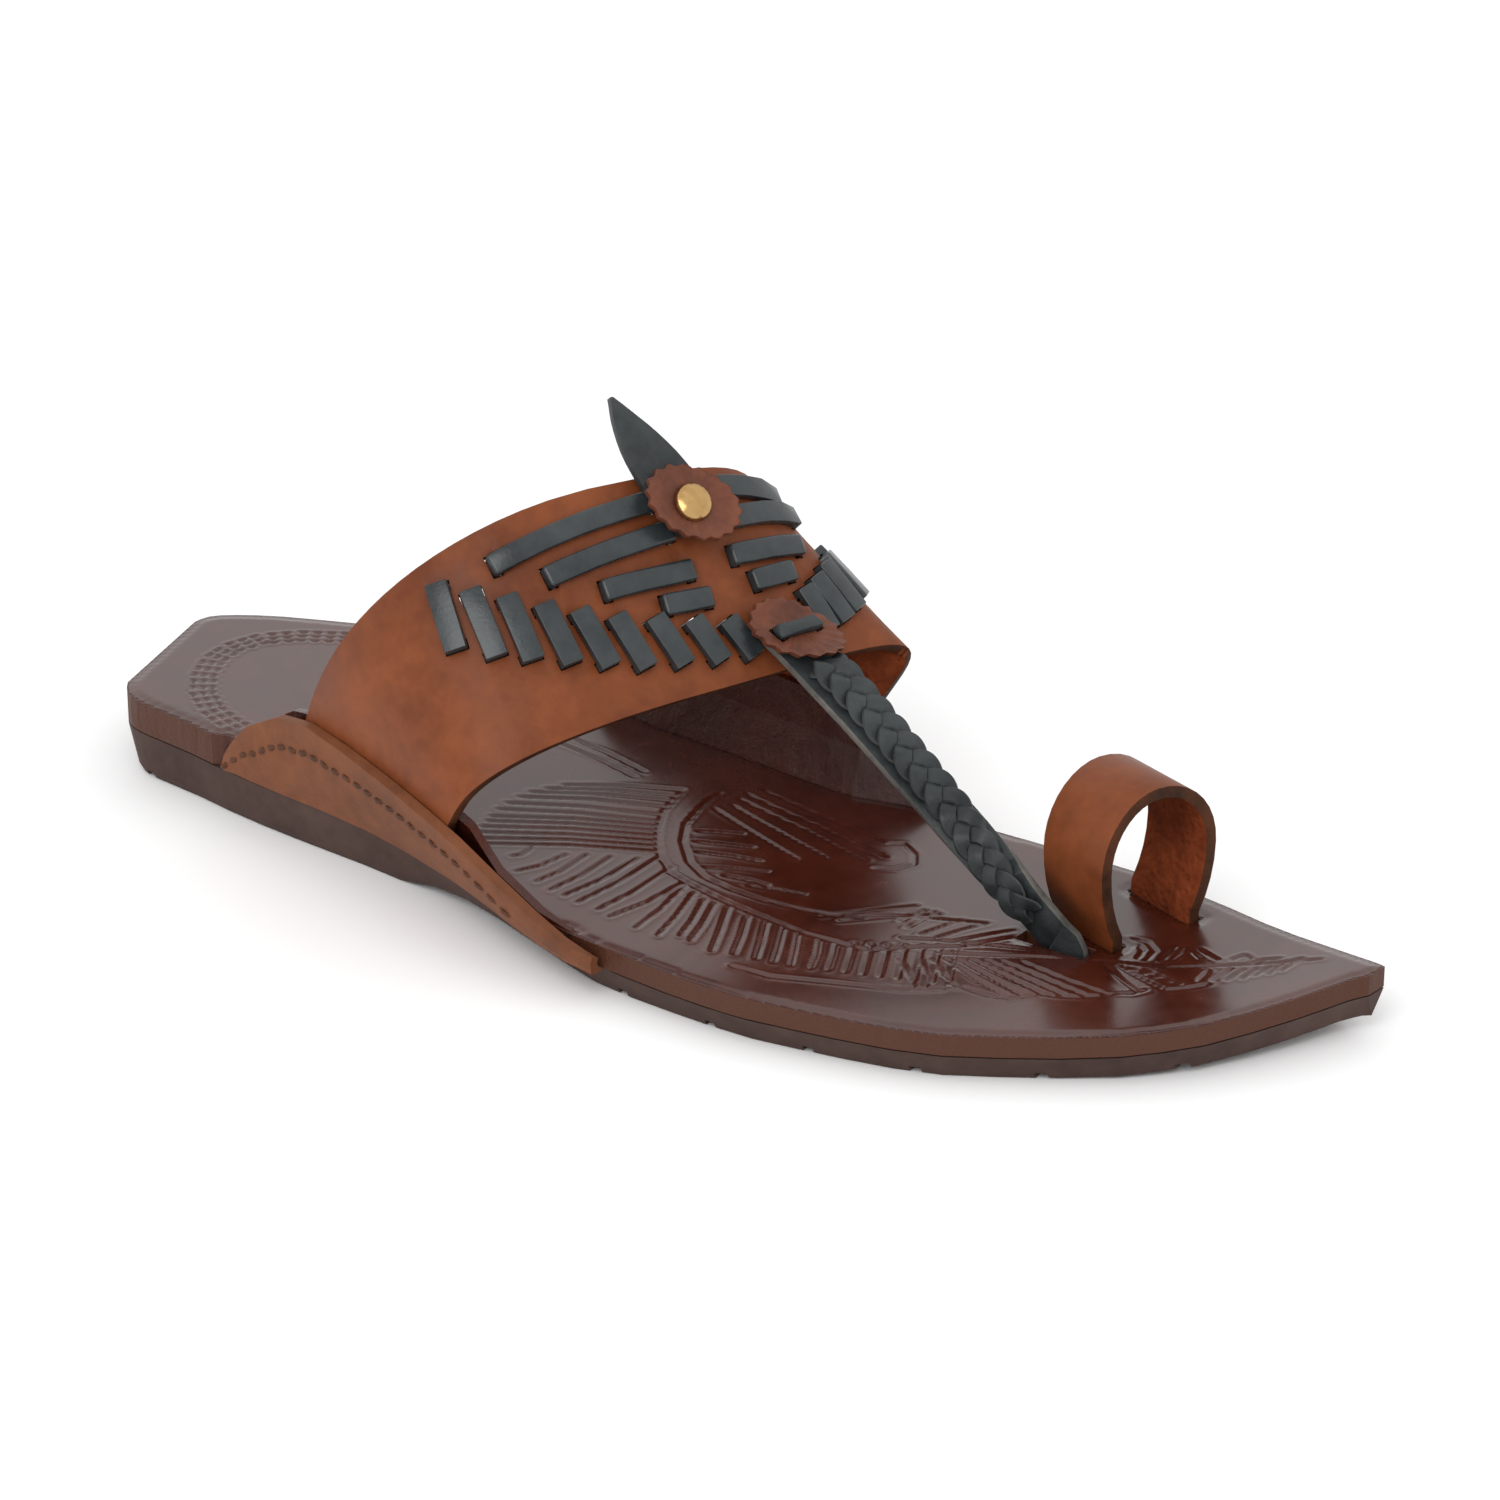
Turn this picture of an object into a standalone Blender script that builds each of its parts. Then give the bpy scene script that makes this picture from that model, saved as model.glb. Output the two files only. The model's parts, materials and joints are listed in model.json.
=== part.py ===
"""Right kolhapuri chappal: rubber sole, leather insole with raised ears, laced instep band,
toe ring and braided toe thong.

Frame: metres, origin on the floor under the middle of the heel seat, +X to the toe,
+Y to the inner (big toe) side of the foot, +Z up.
"""

import math

import bmesh
import bpy
from mathutils import Matrix, Vector

# Overall sizes
LENGTH = 0.285
HEEL_SETBACK = 0.032
BALL_WIDTH = 0.092
GAP = 0.0003

# Sole
RUBBER_HEEL = 0.0112
ARCH_LIFT = 0.0029
TOE_SPRING = 0.0040
INSOLE_HEEL = 0.0073
INSOLE_FORE = 0.0046
SOLE_TAPER = 0.0018
SOLE_BEVEL_HEIGHT = 0.0016
SOLE_BEVEL = 0.0008
GROOVE_WIDTH = 0.0022
GROOVE_DEPTH = 0.0013
GROOVE_PITCH = 0.0215
FORE_GROOVE_START = 0.154
HEEL_GROOVE_AT = 0.014
OUTLINE_STEPS = 2
STATION_STEP = 0.010

# Ears: the leather flaps that hold the band, stitched up from the sole's sides
EAR_WALL = 0.0024
EAR_BULGE = 0.0010
INNER_EAR_WALL = 0.0020
EAR_MARGIN = 0.004
EAR_TURN = 0.0025
LATERAL_EAR_START = 0.008
LATERAL_EAR_LENGTH = 0.111
LATERAL_EAR_HEIGHT = 0.0205
LATERAL_EAR_FLARE = 0.0112
MEDIAL_EAR_START = 0.052
MEDIAL_EAR_LENGTH = 0.094
MEDIAL_EAR_HEIGHT = 0.0240
MEDIAL_EAR_FLARE = 0.0090
EAR_END_STEPS = (-0.004, -0.002, -0.0005, 0.0, 0.003, 0.0075)

# Instep band
BAND_WALL = 0.0024
BAND_TUCK = 0.009
BAND_RAMP = 0.008
BAND_MARGIN = 0.004
LATERAL_BAND_REAR = 0.0332
LATERAL_BAND_FRONT = 0.0807
MEDIAL_BAND_REAR = 0.0787
MEDIAL_BAND_FRONT = 0.1237
CROWN_REAR = Vector((0.0802, -0.0008, 0.0813))
CROWN_FRONT = Vector((0.1120, -0.0024, 0.0454))
BAND_COLUMNS = 40
BAND_ROWS = 4

# Lacing thong in the band
LACE_WIDTH = 0.0040
LACE_THICKNESS = 0.0013
LACE_TAB = 0.0022
LACE_STOP_STEP = 0.0045
SLIT_PLAY = 0.0005

# Tail, rosettes and rivet on the crown
DECOR_ACROSS = -0.313
DECOR_ALONG = 0.191
TAIL_WIDTH = 0.0125
TAIL_THICKNESS = 0.0016
TAIL_LENGTH = 0.0335
UPPER_ROSETTE_RADIUS = 0.0088
LOWER_ROSETTE_RADIUS = 0.0082
ROSETTE_THICKNESS = 0.0017
ROSETTE_CUP = 0.0014
ROSETTE_LIP = 0.0026
SCALLOPS = 18
SCALLOP_DEPTH = 0.0004
RIVET_HEAD_RADIUS = 0.0041
RIVET_HEAD_HEIGHT = 0.0018
RIVET_STEM_RADIUS = 0.0014
RIVET_BACK_RADIUS = 0.0032
RIVET_BACK_THICKNESS = 0.0008
LOWER_ROSETTE_ACROSS = -0.369
LOWER_ROSETTE_ALONG = 0.86
TIE_LENGTH = 0.0085
TIE_WIDTH = 0.0030

# Toe thong: a flat strap with a braid on it, from the lower rosette to its slot
THONG_WIDTH = 0.0110
THONG_THICKNESS = 0.0017
THONG_SLOT = Vector((0.1945, -0.0002))
BRAID_WIDTH = 0.0100
BRAID_HEIGHT = 0.0038
BRAID_LENGTHS = 13
BRAID_STEPS = 5
BRAID_START = 0.170
BRAID_END = 0.925
THONG_STEPS = 26
SLOT_RUN_IN = 0.0060
SLOT_SINK = 0.0020
THONG_BEND = math.radians(62.0)

# Toe ring
RING_WIDTH = 0.0180
RING_WALL = 0.0025
RING_CENTRE = Vector((0.1973, 0.0166))
RING_TURN = math.radians(-20.0)
RING_MIDDLE_HEIGHT = 0.0267
RING_RISE = 0.0158
RING_DROP = 0.0227
RING_NEAR = 0.0137
RING_FAR = 0.0156
RING_LEG = 0.0020
RING_COLUMNS = 30

# Sole outline from heel to toe, as shares of LENGTH (from the heel's back) and BALL_WIDTH
# Columns: lateral along, lateral across, medial along, medial across
OUTLINE = (
    (0.019, -0.225, -0.008, 0.125),
    (0.029, -0.265, -0.005, 0.167),
    (0.045, -0.290, 0.010, 0.210),
    (0.070, -0.302, 0.042, 0.267),
    (0.100, -0.315, 0.100, 0.340),
    (0.147, -0.343, 0.147, 0.371),
    (0.204, -0.364, 0.204, 0.380),
    (0.281, -0.386, 0.281, 0.372),
    (0.368, -0.435, 0.368, 0.375),
    (0.456, -0.511, 0.456, 0.397),
    (0.544, -0.563, 0.544, 0.402),
    (0.632, -0.575, 0.632, 0.391),
    (0.702, -0.547, 0.702, 0.393),
    (0.772, -0.499, 0.772, 0.395),
    (0.842, -0.383, 0.842, 0.365),
    (0.891, -0.288, 0.891, 0.323),
    (0.932, -0.164, 0.944, 0.282),
    (0.969, 0.017, 0.975, 0.254),
    (0.988, 0.136, 0.993, 0.238),
    (0.9975, 0.176, 1.000, 0.229),
)

# Heights along the sole. Columns: along (share of LENGTH), rubber top (share of RUBBER_HEEL),
# arch (share of ARCH_LIFT), insole (0 is INSOLE_FORE thick, 1 is INSOLE_HEEL), toe spring
PROFILE = (
    (0.000, 1.000, 0.00, 1.00, 0.00),
    (0.246, 0.955, 0.00, 0.93, 0.00),
    (0.305, 0.880, 0.00, 0.75, 0.00),
    (0.330, 0.840, 0.50, 0.66, 0.00),
    (0.355, 0.795, 0.95, 0.58, 0.00),
    (0.390, 0.730, 1.00, 0.48, 0.00),
    (0.440, 0.650, 0.75, 0.34, 0.00),
    (0.525, 0.520, 0.00, 0.12, 0.00),
    (0.600, 0.473, 0.00, 0.03, 0.00),
    (0.825, 0.473, 0.00, 0.00, 0.00),
    (0.910, 0.473, 0.00, 0.00, 0.25),
    (1.000, 0.473, 0.00, 0.00, 1.00),
)

# Ears. Columns: along (share of the ear's length), height (share of its height),
# how far its inner face stands out at the foot and at the top (shares of its flare)
LATERAL_EAR = (
    (0.00, 0.12, 0.03, 0.03),
    (0.05, 0.50, 0.03, 0.06),
    (0.12, 0.80, 0.04, 0.12),
    (0.20, 0.96, 0.05, 0.26),
    (0.26, 1.00, 0.06, 0.40),
    (0.45, 0.97, 0.12, 0.78),
    (0.66, 0.88, 0.20, 1.00),
    (0.75, 0.72, 0.26, 0.90),
    (0.84, 0.47, 0.30, 0.70),
    (0.93, 0.27, 0.30, 0.55),
    (1.00, 0.15, 0.26, 0.40),
)
MEDIAL_EAR = (
    (0.00, 0.10, 0.05, 0.05),
    (0.05, 0.38, 0.05, 0.18),
    (0.12, 0.72, 0.08, 0.45),
    (0.20, 0.95, 0.12, 0.78),
    (0.28, 1.00, 0.14, 0.98),
    (0.51, 0.98, 0.16, 0.84),
    (0.76, 0.90, 0.20, 0.80),
    (0.84, 0.64, 0.22, 0.74),
    (0.92, 0.36, 0.22, 0.60),
    (1.00, 0.15, 0.20, 0.36),
)

# Roundness of the band's arch. Columns: lateral exponent, medial exponent,
# lateral shoulder bulge, medial shoulder bulge, at the rear edge and at the front edge
ARCH_REAR = (2.15, 3.60, 0.0066, 0.0062)
ARCH_FRONT = (2.80, 3.50, 0.0036, 0.0074)

# Slanted lacing bars. Columns: across and along at the upper end, then at the lower end,
# where across runs from 1 at the lateral foot of the band to -1 at the medial foot
# and along from 0 at its rear edge to 1 at its front edge
LATERAL_BARS = (
    (0.652, 0.145, 0.725, 0.419),
    (0.584, 0.249, 0.640, 0.535),
    (0.500, 0.346, 0.548, 0.616),
    (0.410, 0.441, 0.439, 0.694),
    (0.312, 0.520, 0.324, 0.758),
    (0.200, 0.592, 0.203, 0.813),
    (0.065, 0.645, 0.060, 0.846),
    (-0.080, 0.695, -0.090, 0.873),
    (-0.210, 0.735, -0.222, 0.890),
)
MEDIAL_BARS = (
    (-0.915, 0.370, -0.922, 0.600),
    (-0.832, 0.480, -0.836, 0.705),
    (-0.741, 0.560, -0.733, 0.787),
    (-0.651, 0.628, -0.645, 0.835),
    (-0.572, 0.675, -0.556, 0.865),
)
# Rows of bars across the crown. Columns: across and along at the two ends of the lateral
# bar, then of the medial bar
ROW_BARS = (
    (0.466, 0.179, -0.215, 0.118, -0.405, 0.095, -0.800, 0.135),
    (0.329, 0.323, -0.210, 0.268, -0.405, 0.272, -0.810, 0.250),
    (0.172, 0.457, -0.195, 0.461, -0.400, 0.440, -0.690, 0.440),
    (-0.018, 0.588, -0.195, 0.599, -0.415, 0.577, -0.570, 0.567),
)

# Tail from its square front end to its tip. Columns: along (share of TAIL_LENGTH from the
# front end), width (share of TAIL_WIDTH), sideways shift and lift (shares of TAIL_WIDTH)
TAIL = (
    (0.00, 0.78, 0.00, 0.00),
    (0.18, 0.94, 0.00, 0.00),
    (0.38, 1.00, 0.00, 0.00),
    (0.55, 0.92, 0.02, 0.02),
    (0.70, 0.72, 0.03, 0.02),
    (0.84, 0.44, 0.00, -0.04),
    (0.94, 0.20, -0.06, -0.12),
    (1.00, 0.05, -0.10, -0.18),
)

# Toe thong from the band to the slot. Columns: run (share of the way to the slot),
# height (share of the drop left), width (share of THONG_WIDTH), twist (share of a
# quarter turn)
THONG = (
    (0.000, 1.000, 1.00, 0.00),
    (0.060, 0.958, 1.00, 0.00),
    (0.200, 0.822, 0.98, 0.02),
    (0.400, 0.622, 0.92, 0.08),
    (0.600, 0.420, 0.86, 0.22),
    (0.780, 0.232, 0.82, 0.62),
    (0.880, 0.132, 0.80, 0.96),
    (0.940, 0.066, 0.80, 1.00),
    (1.000, 0.000, 0.80, 1.00),
)


def make_collection(name):
    """New collection linked to the scene."""
    collection = bpy.data.collections.new(name)
    bpy.context.scene.collection.children.link(collection)
    return collection


for old in list(bpy.data.objects):
    bpy.data.objects.remove(old, do_unlink=True)
PARTS = make_collection("kolhapuri_chappal")
CUTTERS = make_collection("cutters")


def make_material(name, colour, roughness, metallic=0.0):
    """Principled material with one colour."""
    material = bpy.data.materials.new(name)
    material.use_nodes = True
    shader = material.node_tree.nodes["Principled BSDF"]
    shader.inputs["Base Color"].default_value = (*colour, 1.0)
    shader.inputs["Roughness"].default_value = roughness
    shader.inputs["Metallic"].default_value = metallic
    material.diffuse_color = (*colour, 1.0)
    return material


RUBBER = make_material("brown_rubber", (0.062, 0.042, 0.037), 0.6)
INSOLE_LEATHER = make_material("glazed_insole_leather", (0.075, 0.020, 0.010), 0.25)
BAND_LEATHER = make_material("tan_band_leather", (0.21, 0.07, 0.025), 0.45)
EAR_LEATHER = make_material("pale_ear_leather", (0.30, 0.12, 0.045), 0.6)
BLACK_LEATHER = make_material("black_thong_leather", (0.03, 0.034, 0.036), 0.4)
ROSETTE_LEATHER = make_material("rosette_leather", (0.17, 0.055, 0.028), 0.55)
BRASS = make_material("brass", (0.60, 0.36, 0.10), 0.35, 1.0)


def curve(table, value_column, at, key_column=0):
    """Smooth value from a table, with no overshoot between its rows."""
    keys = [row[key_column] for row in table]
    values = [row[value_column] for row in table]
    if at <= keys[0]:
        return values[0]
    if at >= keys[-1]:
        return values[-1]
    index = max(i for i in range(len(keys) - 1) if keys[i] <= at)
    slopes = [(values[i + 1] - values[i]) / (keys[i + 1] - keys[i]) for i in range(len(keys) - 1)]

    def tangent(i):
        if i == 0 or i == len(keys) - 1:
            return slopes[min(i, len(slopes) - 1)]
        if slopes[i - 1] * slopes[i] <= 0:
            return 0.0
        return 2 * slopes[i - 1] * slopes[i] / (slopes[i - 1] + slopes[i])

    span = keys[index + 1] - keys[index]
    t = (at - keys[index]) / span
    h00 = 2 * t**3 - 3 * t**2 + 1
    h10 = t**3 - 2 * t**2 + t
    h01 = -2 * t**3 + 3 * t**2
    h11 = t**3 - t**2
    start = h00 * values[index] + h10 * span * tangent(index)
    return start + h01 * values[index + 1] + h11 * span * tangent(index + 1)


def smoothstep(start, end, at):
    """0 before start, 1 after end, smooth between."""
    t = min(1.0, max(0.0, (at - start) / (end - start)))
    return t * t * (3 - 2 * t)


def finish_mesh(bm, name, material, collection=PARTS):
    """Object from a bmesh with flat faces that point out."""
    bmesh.ops.triangulate(bm, faces=bm.faces)
    bmesh.ops.recalc_face_normals(bm, faces=bm.faces)
    mesh = bpy.data.meshes.new(name)
    bm.to_mesh(mesh)
    bm.free()
    if material:
        mesh.materials.append(material)
    mesh.shade_smooth()
    mesh.set_sharp_from_angle(angle=math.radians(35))
    item = bpy.data.objects.new(name, mesh)
    collection.objects.link(item)
    if collection is CUTTERS:
        item.hide_render = True
        item.display_type = "WIRE"
    return item


def add_loft(bm, sections):
    """Closed body through sections, each a loop of as many points."""
    rings = [[bm.verts.new(point) for point in section] for section in sections]
    count = len(rings[0])
    for ring, following in zip(rings, rings[1:]):
        for i in range(count):
            j = (i + 1) % count
            bm.faces.new((ring[i], ring[j], following[j], following[i]))
    bm.faces.new(reversed(rings[0]))
    bm.faces.new(rings[-1])


def loft(name, sections, material, collection=PARTS):
    """Object that is one closed loft."""
    bm = bmesh.new()
    add_loft(bm, sections)
    return finish_mesh(bm, name, material, collection)


def sheet(name, columns, rows, place, wall, material):
    """Arched grid shaped by place(u, v) in 0..1, thickened inward from its outer face."""
    bm = bmesh.new()
    bmesh.ops.create_grid(bm, x_segments=columns, y_segments=rows, size=0.5)
    for vertex in bm.verts:
        vertex.co = place(vertex.co.x + 0.5, vertex.co.y + 0.5)
    bm.normal_update()
    crown = max(bm.faces, key=lambda face: face.calc_center_median().z)
    if crown.normal.z < 0:
        bmesh.ops.reverse_faces(bm, faces=bm.faces)
    mesh = bpy.data.meshes.new(name)
    bm.to_mesh(mesh)
    bm.free()
    mesh.materials.append(material)
    mesh.shade_smooth()
    item = bpy.data.objects.new(name, mesh)
    PARTS.objects.link(item)
    solidify = item.modifiers.new("wall", "SOLIDIFY")
    solidify.thickness = wall
    solidify.offset = -1.0
    item.modifiers.new("flat_faces", "TRIANGULATE")
    return item


def add_boolean(item, cutter, operation="DIFFERENCE", crossing=False):
    """Boolean modifier against a cutter. crossing says that the cutter's bodies may overlap."""
    modifier = item.modifiers.new(cutter.name, "BOOLEAN")
    modifier.operation = operation
    modifier.solver = "EXACT"
    modifier.use_self = crossing
    modifier.object = cutter


def add_box(bm, centre, axes, sizes):
    """Box about centre, its sides along three unit axes."""
    frame = Matrix([axis.normalized() for axis in axes]).transposed().to_4x4()
    scale = Matrix.Diagonal((*sizes, 1.0))
    bmesh.ops.create_cube(bm, size=1.0, matrix=Matrix.Translation(centre) @ frame @ scale)


# Sole and insole

def sole_share(x):
    """Share of LENGTH from the heel's back at a place along X."""
    return (x + HEEL_SETBACK) / LENGTH


def sole_spring(x):
    """Lift of the toe at x."""
    return TOE_SPRING * curve(PROFILE, 4, sole_share(x))


def rubber_top(x):
    """Height of the outsole's upper face."""
    return RUBBER_HEEL * curve(PROFILE, 1, sole_share(x)) + sole_spring(x)


def rubber_bottom(x):
    """Height of the outsole's lower face."""
    return ARCH_LIFT * curve(PROFILE, 2, sole_share(x)) + sole_spring(x)


def insole_top(x):
    """Height of the insole's upper face."""
    extra = (INSOLE_HEEL - INSOLE_FORE) * curve(PROFILE, 3, sole_share(x))
    return rubber_top(x) + INSOLE_FORE + extra


def sole_edge(side, x):
    """Distance of the sole's edge from the centre line on side -1 lateral or 1 medial."""
    key = 0 if side < 0 else 2
    return side * BALL_WIDTH * curve(OUTLINE, key + 1, sole_share(x), key)


def smooth_rows(rows):
    """Points of a smooth curve through rows of two shares."""
    points = [Vector((row[0] * LENGTH - HEEL_SETBACK, row[1] * BALL_WIDTH)) for row in rows]
    padded = [2 * points[0] - points[1]] + points + [2 * points[-1] - points[-2]]
    smooth = []
    for i in range(1, len(padded) - 2):
        before, start, end, after = padded[i - 1:i + 3]
        for step in range(OUTLINE_STEPS):
            t = step / OUTLINE_STEPS
            bend = (2 * before - 5 * start + 4 * end - after) * t**2
            twist = (3 * start - before - 3 * end + after) * t**3
            smooth.append(start + 0.5 * ((end - before) * t + bend + twist))
    return smooth + [points[-1]]


SQUARE_ROWS = [i for i, row in enumerate(OUTLINE) if row[0] == row[2]]
HEEL_ROWS = OUTLINE[:SQUARE_ROWS[0] + 1]
TOE_ROWS = OUTLINE[SQUARE_ROWS[-1]:]


def regular_places():
    """Even places along X between the heel's curve and the toe's curve."""
    first = HEEL_ROWS[-1][0] * LENGTH - HEEL_SETBACK
    last = TOE_ROWS[0][0] * LENGTH - HEEL_SETBACK
    count = round((last - first) / STATION_STEP)
    return [first + (last - first) * i / count for i in range(1, count)]


def outline_pairs(places):
    """Matching lateral and medial points of the outline, from heel to toe."""
    sides = []
    for side, along, across in ((-1, 0, 1), (1, 2, 3)):
        points = smooth_rows([(row[along], row[across]) for row in HEEL_ROWS])
        points += [Vector((x, side * sole_edge(side, x))) for x in places]
        points += smooth_rows([(row[along], row[across]) for row in TOE_ROWS])
        sides.append(points)
    return sides


def inset_side(side, distance, inward):
    """The outline side moved in by distance, inward 1 for lateral and -1 for medial."""
    moved = []
    for i, point in enumerate(side):
        direction = side[min(i + 1, len(side) - 1)] - side[max(i - 1, 0)]
        normal = Vector((-direction.y, direction.x)).normalized() * inward
        moved.append(point + normal * distance)
    return moved


def plate_sections(layers):
    """Sections of a plate with the sole's outline. A layer is an inset and a height function."""
    lateral, medial = outline_pairs(regular_places())
    columns = []
    for distance, height in layers:
        inner_lateral = inset_side(lateral, distance, 1)
        inner_medial = inset_side(medial, distance, -1)
        columns.append((inner_lateral, inner_medial, height))
    sections = []
    for i in range(len(lateral)):
        up = [Vector((c[0][i].x, c[0][i].y, c[2](c[0][i].x))) for c in columns]
        down = [Vector((c[1][i].x, c[1][i].y, c[2](c[1][i].x))) for c in reversed(columns)]
        sections.append(up + down)
    return sections


def make_outsole():
    """Rubber sole with heel, arch, toe spring, side step and cross grooves."""
    layers = (
        (SOLE_TAPER + SOLE_BEVEL, rubber_bottom),
        (SOLE_TAPER, lambda x: rubber_bottom(x) + SOLE_BEVEL_HEIGHT),
        (0.0, rubber_top),
    )
    outsole = loft("outsole", plate_sections(layers), RUBBER)
    bm = bmesh.new()
    axes = (Vector((1, 0, 0)), Vector((0, 1, 0)), Vector((0, 0, 1)))
    count = int((LENGTH - FORE_GROOVE_START) / GROOVE_PITCH)
    places = [HEEL_GROOVE_AT] + [FORE_GROOVE_START + i * GROOVE_PITCH for i in range(count)]
    for place in places:
        x = place - HEEL_SETBACK
        centre = Vector((x, 0, rubber_bottom(x)))
        add_box(bm, centre, axes, (GROOVE_WIDTH, 2 * BALL_WIDTH, 2 * GROOVE_DEPTH))
    add_boolean(outsole, finish_mesh(bm, "tread_grooves", None, CUTTERS))
    return outsole


# Ears

class Ear:
    """Raised flap on one side of the sole; its inner face is the surface all else follows."""

    def __init__(self, name, side, start, length, height, flare, table, band_rear, band_front):
        self.name = name
        self.side = side
        self.start = start
        self.length = length
        self.height = height
        self.flare = flare
        self.table = table
        self.band_rear = band_rear
        self.band_front = band_front

    def foot(self, x):
        """Height of the flap's lower edge."""
        return rubber_top(x) + GAP

    def top(self, x):
        """Height of the flap's upper edge."""
        return self.foot(x) + self.height * curve(self.table, 1, (x - self.start) / self.length)

    def share(self, x, z):
        """Height share of a height on the flap."""
        return (z - self.foot(x)) / (self.top(x) - self.foot(x))

    def point(self, x, share, inward=0.0):
        """Point on the inner face at a height share, moved inward along its normal."""
        place = (x - self.start) / self.length
        low = self.flare * curve(self.table, 2, place)
        high = self.flare * curve(self.table, 3, place)
        out = low + (high - low) * share + EAR_BULGE * math.sin(math.pi * share) - EAR_WALL
        lean = high - low + EAR_BULGE * math.pi * math.cos(math.pi * share)
        rise = self.top(x) - self.foot(x)
        size = math.hypot(lean, rise)
        out -= inward * rise / size
        z = max(self.foot(x), self.foot(x) + rise * share + inward * lean / size)
        return Vector((x, self.side * (sole_edge(self.side, x) + out), z))

    def room(self, x):
        """Distance from the flap to the insole's raised edge: the band where it passes."""
        rear = self.band_rear - BAND_TUCK * 0.5 - BAND_MARGIN
        front = self.band_front + BAND_MARGIN
        cover = smoothstep(rear - BAND_RAMP, rear, x)
        cover *= 1 - smoothstep(front, front + BAND_RAMP, x)
        return GAP + cover * (BAND_WALL * 1.08 + GAP)

    def covers(self, x):
        """Whether the flap passes the place along X."""
        return self.start - GAP / 10 < x < self.start + self.length + GAP / 10


EARS = (
    Ear("ear_lateral", -1, LATERAL_EAR_START, LATERAL_EAR_LENGTH, LATERAL_EAR_HEIGHT,
        LATERAL_EAR_FLARE, LATERAL_EAR, LATERAL_BAND_REAR, LATERAL_BAND_FRONT),
    Ear("ear_medial", 1, MEDIAL_EAR_START, MEDIAL_EAR_LENGTH, MEDIAL_EAR_HEIGHT,
        MEDIAL_EAR_FLARE, MEDIAL_EAR, MEDIAL_BAND_REAR, MEDIAL_BAND_FRONT),
)
LATERAL, MEDIAL = EARS
EAR_SHARES = (0.0, 0.25, 0.5, 0.75, 1.0)


def shared_places():
    """Places along X for insole and ears, closer together at the ears' ends."""
    ends = [ear.start + step for ear in EARS for step in EAR_END_STEPS]
    ends += [ear.start + ear.length - step for ear in EARS for step in EAR_END_STEPS]
    even = [x for x in regular_places() if all(abs(x - end) > STATION_STEP / 4 for end in ends)]
    return sorted(ends + even)


def flap_section(ear, x, near, far, shares):
    """Loop round a flap's wall, from near to far of its inner face."""
    first = [ear.point(x, share, near) for share in shares]
    second = [ear.point(x, share, far) for share in reversed(shares)]
    return first + second


def make_ear(ear):
    """Outer leather flap."""
    sections = [flap_section(ear, x, -EAR_WALL, 0.0, EAR_SHARES) for x in shared_places() if ear.covers(x)]
    return loft(ear.name, sections, EAR_LEATHER)


def slot_cutter(name, centre, direction, length, width, depth):
    """Upright slot through the insole, its length along direction."""
    bm = bmesh.new()
    along = Vector((direction.x, direction.y, 0.0))
    across = Vector((-direction.y, direction.x, 0.0))
    axes = (along, across, Vector((0, 0, 1)))
    add_box(bm, centre, axes, (length + 2 * GAP, width + 2 * GAP, depth))
    return finish_mesh(bm, name, None, CUTTERS)


TURN_SHARES = (0.0, 0.12, 0.25, 0.5, 0.75, 1.0)


def flat_margin(edge, inward, height):
    """Edge and margin points of the insole where it lies flat, from its lower edge inward."""
    low = Vector((edge.x, edge.y, rubber_top(edge.x) + GAP))
    corner = Vector((edge.x, edge.y, height))
    return [low] + [corner + inward * share for share in TURN_SHARES]


def turned_margin(ear, x, inward, height):
    """Edge and margin points of the insole beside an ear: turned up where the ear is taller."""
    near = ear.room(x)
    flat = flat_margin(ear.point(x, 0.0, near), inward, height)
    foot = min(0.9, ear.share(x, height))
    middle = (foot + 0.99) / 2
    far = near + INNER_EAR_WALL
    root = ear.point(x, foot, far * 1.15)
    root.z = height
    low = ear.point(x, 0.0, near * 1.15)
    low.z = ear.foot(x)
    turned = [
        low, ear.point(x, foot, near), ear.point(x, middle, near), ear.point(x, 0.99, near),
        ear.point(x, 0.99, far), ear.point(x, middle, far), root,
    ]
    share = smoothstep(0.0, EAR_TURN, ear.top(x) - height)
    return [place.lerp(other, share) for place, other in zip(flat, turned)]


def insole_margin(side, point, other):
    """Margin points of the insole at one station, blended in just before and after an ear."""
    height = insole_top(point.x)
    width = Vector((other.x - point.x, other.y - point.y, 0))
    inward = width.normalized() * min(INNER_EAR_WALL, width.length * 0.2)
    flat = flat_margin(point, inward, height)
    for ear in EARS:
        end = ear.start + ear.length
        if ear.side != side or not ear.start - EAR_MARGIN < point.x < end + EAR_MARGIN:
            continue
        x = min(end, max(ear.start, point.x))
        shift = Vector((point.x - x, 0, height - insole_top(x)))
        turned = [place + shift for place in turned_margin(ear, x, inward, insole_top(x))]
        share = smoothstep(ear.start - EAR_MARGIN, ear.start - GAP, point.x)
        share *= 1 - smoothstep(end + GAP, end + EAR_MARGIN, point.x)
        return [place.lerp(other, share) for place, other in zip(flat, turned)]
    return flat


def make_insole():
    """Leather insole whose sides turn up inside the ears, with slots for thong and ring."""
    sections = []
    for lateral, medial in zip(*outline_pairs(shared_places())):
        near = insole_margin(-1, lateral, medial)
        sections.append(near + insole_margin(1, medial, lateral)[::-1])
    insole = loft("insole", sections, INSOLE_LEATHER)
    for cutter in insole_slots():
        add_boolean(insole, cutter)
    return insole


# Instep band

def band_foot(ear, along):
    """Where the band's outer face meets the top of an ear."""
    x = ear.band_rear + (ear.band_front - ear.band_rear) * along
    return ear.point(x, 1.0, GAP)


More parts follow.
